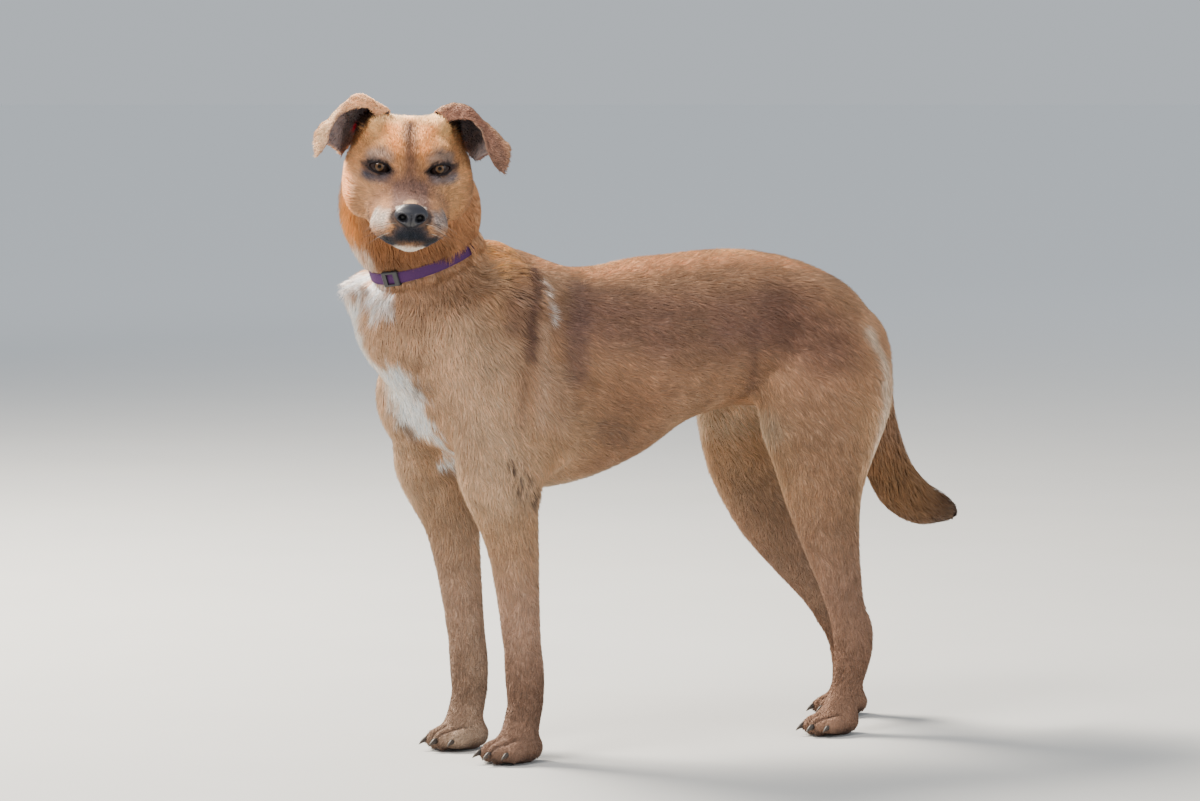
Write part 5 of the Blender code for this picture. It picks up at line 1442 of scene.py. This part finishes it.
def make_strap():
    around, profile = 220, []
    w, t = STRAP_W / 2, STRAP_T / 2
    for k in range(20):
        a = 2 * math.pi * k / 20
        cx, cy = math.cos(a), math.sin(a)
        profile.append((math.copysign(abs(cx) ** 0.35, cx) * t, math.copysign(abs(cy) ** 0.35, cy) * w))
    v, c = [], []
    for i in range(around):
        turn = 2 * math.pi * i / around
        for off, high in profile:
            v.append(ring_point(turn, off + 0.0006 - t, high))
            edge = abs(high) / w
            c.append(lin(80, 44, 92) * (0.80 if 0.70 < edge < 0.84 else 1.0))
    faces = []
    m = len(profile)
    for i in range(around):
        for k in range(m):
            a, b = i * m + k, i * m + (k + 1) % m
            a2, b2 = ((i + 1) % around) * m + k, ((i + 1) % around) * m + (k + 1) % m
            faces += [(a, b, b2), (a, b2, a2)]
    v, faces = np.array(v), np.array(faces)
    out = normals_of(v, faces)
    if (out * (v - COLLAR_AT)).sum() < 0:
        faces = faces[:, ::-1]
    obj = object_of("strap", v, faces)
    paint(obj, np.array(c))
    mat = painted("webbing", 0.75, 700.0, 0.75, 1.15, spec=0.25)
    tree = mat.node_tree
    place = add(tree, "ShaderNodeTexCoord")
    wave = add(tree, "ShaderNodeTexWave", Scale=420.0, Distortion=1.5, bands_direction="DIAGONAL")
    tree.links.new(place.outputs["Object"], wave.inputs["Vector"])
    node = add(tree, "ShaderNodeBump", Strength=0.6, Distance=0.0004)
    tree.links.new(wave.outputs["Fac"], node.inputs["Height"])
    tree.links.new(node.outputs["Normal"], tree.nodes["Principled BSDF"].inputs["Normal"])
    placed(obj, mat, "webbing", "collar_strap")


make_strap()
plastic, tree, b = principled("plastic", 0.38)
noise_node = add(tree, "ShaderNodeTexNoise", Scale=600.0, Detail=2.0)
ramp = add(tree, "ShaderNodeValToRGB")
ramp.color_ramp.elements[0].color = (0.010, 0.010, 0.012, 1)
ramp.color_ramp.elements[1].color = (0.022, 0.022, 0.025, 1)
tree.links.new(noise_node.outputs["Fac"], ramp.inputs["Fac"])
tree.links.new(ramp.outputs["Color"], b.inputs["Base Color"])
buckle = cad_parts["collar_buckle"]
buckle.data.materials.clear()
buckle.data.materials.append(plastic)


# ---------------------------------------------------------------- the coat
def turned(d, n, angle):
    """Direction d turned about n."""
    c, s = np.cos(angle)[:, None], np.sin(angle)[:, None]
    return d * c + np.cross(n, d) * s


def nearest(tree, p):
    place, normal = np.empty_like(p), np.empty_like(p)
    find = tree.find_nearest
    for i, q in enumerate(p.tolist()):
        a, b, _, _ = find(q)
        place[i], normal[i] = a, b
    return place, normal


def hair_plan(p, n, k, fact):
    """For places on the skin: spacing of the tufts, their length, width, height of the tip, and whether they are long."""
    w = regions(p)
    h = to_head(p)
    x, y, z = p.T
    total = w["head"] + w["neck"] + w["tail"] + w["leg"] + w["body"]

    def mix(head, neck_, tail_, leg, body):
        return (w["head"] * head + w["neck"] * neck_ + w["tail"] * tail_ + w["leg"] * leg + w["body"] * body) / total

    low = step(0.26, 0.13, z)
    back = step(-0.035, -0.085, h[:, 1])
    a = np.abs(h[:, 0])
    muzzle = step(0.010, 0.045, h[:, 1])
    e = np.minimum(lid_measure(h, 1), lid_measure(h, -1))
    cheek = step(0.040, 0.058, a) * step(0.01, -0.03, h[:, 2])
    face_len = 0.0062 - 0.0030 * muzzle - 0.0022 * step(2.6, 1.4, e) + 0.0055 * back + 0.0030 * cheek
    fringe = near(p, [(0.105, 0.335, 0.43), (0.105, 0.325, 0.37), (0.098, 0.315, 0.31), (0.085, 0.31, 0.26)], 0.012, 0.026, True)
    fringe = np.maximum(fringe, near(p, [(0.05, 0.37, 0.45), (0.06, 0.355, 0.37), (0.07, 0.34, 0.30)], 0.012, 0.03, True))
    top = step(0.52, 0.56, z)
    rel = p - COLLAR_AT
    over = rel @ COLLAR_AXIS
    rel = unit(rel - over[:, None] * COLLAR_AXIS)
    nape = w["neck"] * step(0.05, 0.55, rel @ unit(np.array((-0.1, 1.0, 0.0))))
    nape = np.maximum(nape, near(p, [(0.030, -0.168, 0.590), (0.055, -0.166, 0.575)], 0.020, 0.022, True))
    length = mix(face_len, 0.0150 + 0.007 * nape, 0.028, 0.0125 - 0.0055 * low, 0.0135 + 0.0035 * top)
    length = length * (1 - 0.45 * w["foot"]) + 0.009 * fringe * (1 - w["tail"])
    width = mix(0.00082 + 0.0003 * back, 0.00114, 0.0015, 0.00117 - 0.00026 * low, 0.00117)
    width = width * (1 - 0.25 * w["foot"])
    gap = mix(0.00128 + 0.0005 * back, 0.00184, 0.0022, 0.00195 - 0.00020 * low, 0.00195)
    gap = gap * (1 - 0.35 * step(0.016, 0.009, np.abs(over)) * (y < -0.12) * (1 - w["head"]))
    gap = gap * (1 - 0.1 * w["foot"])
    rise = depth_of(p, n)
    rise = np.where(w["head"] > 0.5, rise * (0.85 - 0.25 * muzzle), rise)
    long_ = (nape + w["tail"] + fringe) > 0.5
    ear = k >= 2
    inner = ear & (fact[:, 0] < 0)
    length = np.where(ear, 0.0050, length)
    width = np.where(ear, 0.0010, width)
    gap = np.where(ear, np.where(inner, 0.0030, 0.0014), gap)
    rise = np.where(ear, 0.0013, rise)
    long_ = long_ & ~ear
    bare = (k == 0) & (e < 1.80) & (h[:, 1] > -0.01)
    bare |= (k == 1) & (e < 1.22)
    q = (h - NOSE_AT) / np.array((0.0202, 0.0128, 0.0140))
    bare |= (np.linalg.norm(q, axis=1) < 0.99) & (h[:, 1] > 0.085)
    m = np.stack([a, h[:, 1], h[:, 2]], 1)
    d, _ = chain(m, LIP)
    bare |= (d < 0.0014) & (w["head"] > 0.5)
    bare |= (over < STRAP_W / 2 + 0.0008) & (over > 0.0012 - STRAP_W / 2) & (y < -0.12) & (w["head"] < 0.9)
    bare |= (z < 0.006) & (n[:, 2] < -0.3)
    return gap, length, width, rise, long_, bare


def scatter():
    """Roots of the tufts over the whole skin."""
    a, b, c = (skin_v[skin_t[:, i]] for i in range(3))
    cross = np.cross(b - a, c - a)
    area = 0.5 * np.linalg.norm(cross, axis=1)
    mid = (a + b + c) / 3
    nn = unit(cross)
    k = kind[skin_t[:, 0]]
    fact = facts[skin_t].mean(1)
    gap, _, _, _, _, bare = hair_plan(mid, nn, k, fact)
    want = np.where(bare, 0, area / gap**2)
    count = np.floor(want + rng.random(len(want))).astype(int)
    tri = np.repeat(np.arange(len(count)), count)
    r = rng.random((len(tri), 2))
    flip = r.sum(1) > 1
    r[flip] = 1 - r[flip]
    u, v = r[:, :1], r[:, 1:]
    root = a[tri] + u * (b - a)[tri] + v * (c - a)[tri]
    normal = unit((1 - u - v) * skin_n[skin_t[tri, 0]] + u * skin_n[skin_t[tri, 1]] + v * skin_n[skin_t[tri, 2]])
    fact = (1 - u - v) * facts[skin_t[tri, 0]] + u * facts[skin_t[tri, 1]] + v * facts[skin_t[tri, 2]]
    return root, normal, k[tri], fact


def ear_flow(p, n, side):
    """The hair of the ear runs from its root out to the tip."""
    d = np.tile(np.array((side * 1.0, 0.25, -0.45)), (len(p), 1)) @ HR.T
    d = d - (d * n).sum(1, keepdims=True) * n
    return unit(d)


def grouped(p, k, w):
    """Which piece of the coat each root belongs to."""
    x, y, z = p.T
    name = np.full(len(p), "fur_loin    ", dtype="<U18")
    name[y < 0.0] = "fur_chest"
    name[y > 0.16] = "fur_hips"
    fore = (w["leg"] > 0.5) & (y < 0.05)
    hind = (w["leg"] > 0.5) & (y >= 0.05)
    for pick, word in ((fore, "fore"), (hind, "hind")):
        name[pick & (x > 0)] = f"fur_{word}_left"
        name[pick & (x <= 0)] = f"fur_{word}_right"
    name[w["neck"] > 0.5] = "fur_neck"
    name[w["head"] > 0.5] = "fur_head"
    name[w["tail"] > 0.5] = "fur_tail"
    name[k == 2] = "fur_ear_left"
    name[k == 3] = "fur_ear_right"
    return name


def unwrapped(root, axis):
    """A place in the unit square for each root: turned round the piece's axis, and along it."""
    c = root.mean(0)
    q = root - c
    axis = unit(np.array(axis, float))
    one = unit(np.cross(axis, (0.31, 0.9, 0.2)))
    two = np.cross(axis, one)
    u = (np.arctan2(q @ two, q @ one) / (2 * math.pi)) % 1.0
    v = q @ axis
    v = (v - v.min()) / max(v.max() - v.min(), 1e-9)
    return np.stack([0.002 + 0.992 * u, 0.002 + 0.992 * v], 1)


AXES = {
    "fur_chest": (0, 1, 0), "fur_loin": (0, 1, 0), "fur_hips": (0, 1, 0), "fur_neck": tuple(COLLAR_AXIS),
    "fur_head": tuple(HR[:, 1]), "fur_tail": (0, 0.5, -0.85), "fur_ear_left": tuple(HR[:, 0]), "fur_ear_right": tuple(HR[:, 0]),
}
SLOTS = {"fur_neck": "coat_neck", "fur_head": "coat_head", "fur_tail": "coat_tail", "fur_ear_left": "coat_ear", "fur_ear_right": "coat_ear"}
LONG_FACES = np.array(
    [(0, 2, 1), (0, 1, 4), (0, 4, 3), (1, 2, 5), (1, 5, 4), (2, 0, 3), (2, 3, 5), (3, 4, 6), (4, 5, 6), (5, 3, 6)]
)
SHORT_FACES = np.array([(0, 2, 1), (0, 1, 3), (1, 2, 3), (2, 0, 3)])


def make_coat():
    root, n, k, fact = scatter()
    gap, length, width, rise, long_, _ = hair_plan(root, n, k, fact)
    count = len(root)
    length = length * rng.uniform(0.72, 1.22, count)
    width = width * rng.uniform(0.75, 1.25, count)
    rise = rise * rng.uniform(0.70, 1.15, count)
    d = flow(root, n)
    for value, side in ((2, 1), (3, -1)):
        pick = k == value
        d[pick] = ear_flow(root[pick], n[pick], side)
    bend = 0.24 * noise(root, 0.035, 61) + 0.16 * noise(root, 0.013, 62) + rng.normal(0, 0.10, count)
    d = turned(d, n, bend)
    # hair above the collar stops at the strap in front, and falls over it toward the nape
    above = (root - COLLAR_AT) @ COLLAR_AXIS
    rel = unit(root - COLLAR_AT - above[:, None] * COLLAR_AXIS)
    open_ = step(0.28, 0.66, rel @ unit(np.array((0.25, -0.95, 0.0))))
    room = (above - STRAP_W / 2 - 0.0006) / np.maximum(-(d @ COLLAR_AXIS), 0.25)
    close = (above > 0) & (above < 0.05) & (root[:, 1] < -0.12)
    length = np.where(close, np.minimum(length, np.maximum(room, 0.002) + 0.03 * (1 - open_)), length)
    cover = np.where(close & (k < 2), (1 - open_) * step(0.024, 0.013, above), 0.0)
    length = length + 0.007 * cover
    rise = np.maximum(rise, 0.0086 * cover * rng.uniform(0.85, 1.15, count))
    colour = colour_of(root, k, fact)
    shade = np.exp(rng.normal(0, 0.13, count)) * (1 + 0.10 * noise(root, 0.006, 63))
    warm = rng.normal(0, 0.035, count)
    colour = colour * shade[:, None] * np.stack([1 + warm, np.ones(count), 1 - warm], 1)
    w = regions(root)
    name = grouped(root, k, w)
    side = np.cross(d, n)
    mid = root + d * (0.5 * length)[:, None]
    tip = root + d * length[:, None]
    mid_n, tip_n = n.copy(), n.copy()
    pick = np.flatnonzero(long_)
    at, nn = nearest(body_tree, mid[pick])
    way = at - root[pick]
    way = way - (way * nn).sum(1, keepdims=True) * nn
    ahead = at + unit(way) * (0.5 * length[pick])[:, None]
    mid[pick], mid_n[pick] = at, nn
    at, nn = nearest(body_tree, ahead)
    tip[pick], tip_n[pick] = at, nn
    mid = mid + mid_n * (0.72 * rise)[:, None]
    tip = tip + tip_n * rise[:, None]
    # tips of neighbours lean together into locks
    cell = np.floor((root + 0.004 * np.stack([noise(root, 0.02, s) for s in (64, 65, 66)], 1)) / 0.0085).astype(np.int64)
    key = cell[:, 0] * 4000037 + cell[:, 1] * 2003 + cell[:, 2] + np.where(long_, 0, 7_000_000_000)
    _, group = np.unique(key, return_inverse=True)
    size = np.bincount(group)
    mean = np.stack([np.bincount(group, tip[:, i]) for i in range(3)], 1) / size[:, None]
    pull = np.where(long_, 0.30, 0.0) * (size[group] > 2)
    tip = tip + pull[:, None] * (mean[group] - tip)
    total = 0
    for piece in sorted(set(name)):
        for is_long in (True, False):
            pick = np.flatnonzero((name == piece) & (long_ == is_long))
            if len(pick) < 200:
                continue
            most = 19500 if is_long else 48500
            parts = -(-len(pick) // most)
            order = pick[np.argsort(root[pick, 1] if parts > 1 else pick, kind="stable")]
            for number, chunk in enumerate(np.array_split(order, parts)):
                label = piece.strip() + ("" if is_long else "_short") + (f"_{number + 1}" if parts > 1 else "")
                total += coat_piece(label, piece.strip(), chunk, is_long, root, n, mid, mid_n, tip, side, width, colour)
    print("coat", total, "triangles,", count, "tufts")


def coat_piece(label, piece, pick, is_long, root, n, mid, mid_n, tip, side, width, colour):
    s, r, nn, w = side[pick], root[pick], n[pick], width[pick][:, None]
    c = colour[pick]
    if is_long:
        m, mn, t = mid[pick], mid_n[pick], tip[pick]
        s2 = unit(s - (s * mn).sum(1, keepdims=True) * mn)
        verts = np.stack(
            [
                r - s * w * 0.42 - nn * 0.0004, r + s * w * 0.42 - nn * 0.0004, r + nn * w * 0.30,
                m - s2 * w * 0.50, m + s2 * w * 0.50, m + mn * w * 0.34,
                t,
            ],
            1,
        )
        # painted shade at the root of each tuft, rising to a lighter tip
        tone = np.array((0.78, 0.78, 0.85, 0.97, 0.97, 1.02, 1.09))
        patch = np.array(((0, 0), (1, 0), (0.5, 0), (0.1, 0.5), (0.9, 0.5), (0.5, 0.5), (0.5, 1)))
        base = LONG_FACES
    else:
        t = tip[pick]
        verts = np.stack([r - s * w * 0.5 - nn * 0.0002, r + s * w * 0.5 - nn * 0.0002, r + nn * w * 0.42, t], 1)
        # painted shade at the root of each tuft, rising to a lighter tip
        tone = np.array((0.90, 0.90, 0.96, 1.06))
        patch = np.array(((0, 0), (1, 0), (0.5, 0.1), (0.5, 1)))
        base = SHORT_FACES
    count, per = verts.shape[:2]
    faces = (base[None] + per * np.arange(count)[:, None, None]).reshape(-1, 3)
    verts = verts.reshape(-1, 3)
    v = verts.reshape(count, per, 3)
    f0 = base[1]
    e = np.cross(v[:, f0[1]] - v[:, f0[0]], v[:, f0[2]] - v[:, f0[0]])
    inside = v.mean(1)
    if ((v[:, f0].mean(1) - inside) * e).sum() < 0:
        faces = faces[:, ::-1]
    obj = object_of(label, verts, faces)
    paint(obj, (c[:, None, :] * tone[None, :, None]).reshape(-1, 3))
    uv = (unwrapped(r, AXES.get(piece, (0, 0, 1)))[:, None, :] + 0.003 * (patch[None] - 0.0)).reshape(-1, 2)
    layer = obj.data.uv_layers.new(name="OFBake")
    layer.data.foreach_set("uv", uv[faces.ravel()].astype(np.float32).ravel())
    placed(obj, coat_hair, SLOTS.get(piece, "coat_leg" if "fore" in piece or "hind" in piece else "coat_body"))
    return len(faces)


coat_hair = painted("coat_hair", 0.62, 500.0, 0.88, 1.10, spec=0.22)
make_coat()


# ---------------------------------------------------------------- studio
def studio():
    bpy.ops.mesh.primitive_plane_add(size=90, location=(0, 0, 0))
    floor = bpy.context.object
    floor.name = "floor"
    m, tree, b = principled("floor", 0.8)
    fine = add(tree, "ShaderNodeTexNoise", Scale=3.0, Detail=4.0)
    ramp = add(tree, "ShaderNodeValToRGB")
    ramp.color_ramp.elements[0].color = (0.50, 0.50, 0.49, 1)
    ramp.color_ramp.elements[1].color = (0.55, 0.55, 0.54, 1)
    tree.links.new(fine.outputs["Fac"], ramp.inputs["Fac"])
    # far off, the floor takes the tone of the backdrop, so no line shows where it ends
    place = add(tree, "ShaderNodeTexCoord")
    tree.links.new(place.outputs["Object"], fine.inputs["Vector"])
    far = add(tree, "ShaderNodeVectorMath", operation="LENGTH")
    tree.links.new(place.outputs["Object"], far.inputs[0])
    span = add(tree, "ShaderNodeMapRange", interpolation_type="SMOOTHSTEP")
    span.inputs["From Min"].default_value, span.inputs["From Max"].default_value = 1.5, 10.0
    tree.links.new(far.outputs["Value"], span.inputs["Value"])
    mix = add(tree, "ShaderNodeMix", data_type="RGBA")
    mix.inputs[7].default_value = (0.96, 0.97, 0.98, 1)
    tree.links.new(span.outputs["Result"], mix.inputs[0])
    tree.links.new(ramp.outputs["Color"], mix.inputs[6])
    tree.links.new(mix.outputs[2], b.inputs["Base Color"])
    b.inputs["Specular IOR Level"].default_value = 0.1
    floor.data.materials.append(m)
    world = bpy.data.worlds.new("world")
    bpy.context.scene.world = world
    world.use_nodes = True
    back = world.node_tree.nodes["Background"]
    back.inputs["Color"].default_value = (0.86, 0.93, 1.0, 1)
    back.inputs["Strength"].default_value = 0.62

    def lamp(name, at, toward, size, power, colour):
        data = bpy.data.lights.new(name, "AREA")
        data.size, data.energy, data.color = size, power, colour
        obj = bpy.data.objects.new(name, data)
        bpy.context.scene.collection.objects.link(obj)
        obj.location = at
        obj.rotation_mode = "QUATERNION"
        obj.rotation_quaternion = (Vector(toward) - Vector(at)).to_track_quat("-Z", "Y")

    lamp("key", (1.1, -3.2, 3.6), (0, 0, 0.4), 1.4, 182, (1.0, 0.95, 0.88))
    lamp("rim", (-2.6, -1.0, 3.0), (0, 0, 0.5), 1.5, 620, (1.0, 0.92, 0.80))
    lamp("fill", (3.6, 1.2, 2.0), (0, 0, 0.4), 2.4, 55, (0.93, 0.97, 1.0))
    cam = bpy.data.cameras.new("camera")
    cam.lens, cam.sensor_width = 155.0, 36.0
    cam.clip_start, cam.clip_end = 0.1, 50
    obj = bpy.data.objects.new("camera", cam)
    bpy.context.scene.collection.objects.link(obj)
    obj.location = Vector(CAMERA_AT + SHIFT)
    obj.rotation_euler = (math.radians(90 - 4.25), 0, math.radians(57))
    bpy.context.scene.camera = obj


studio()
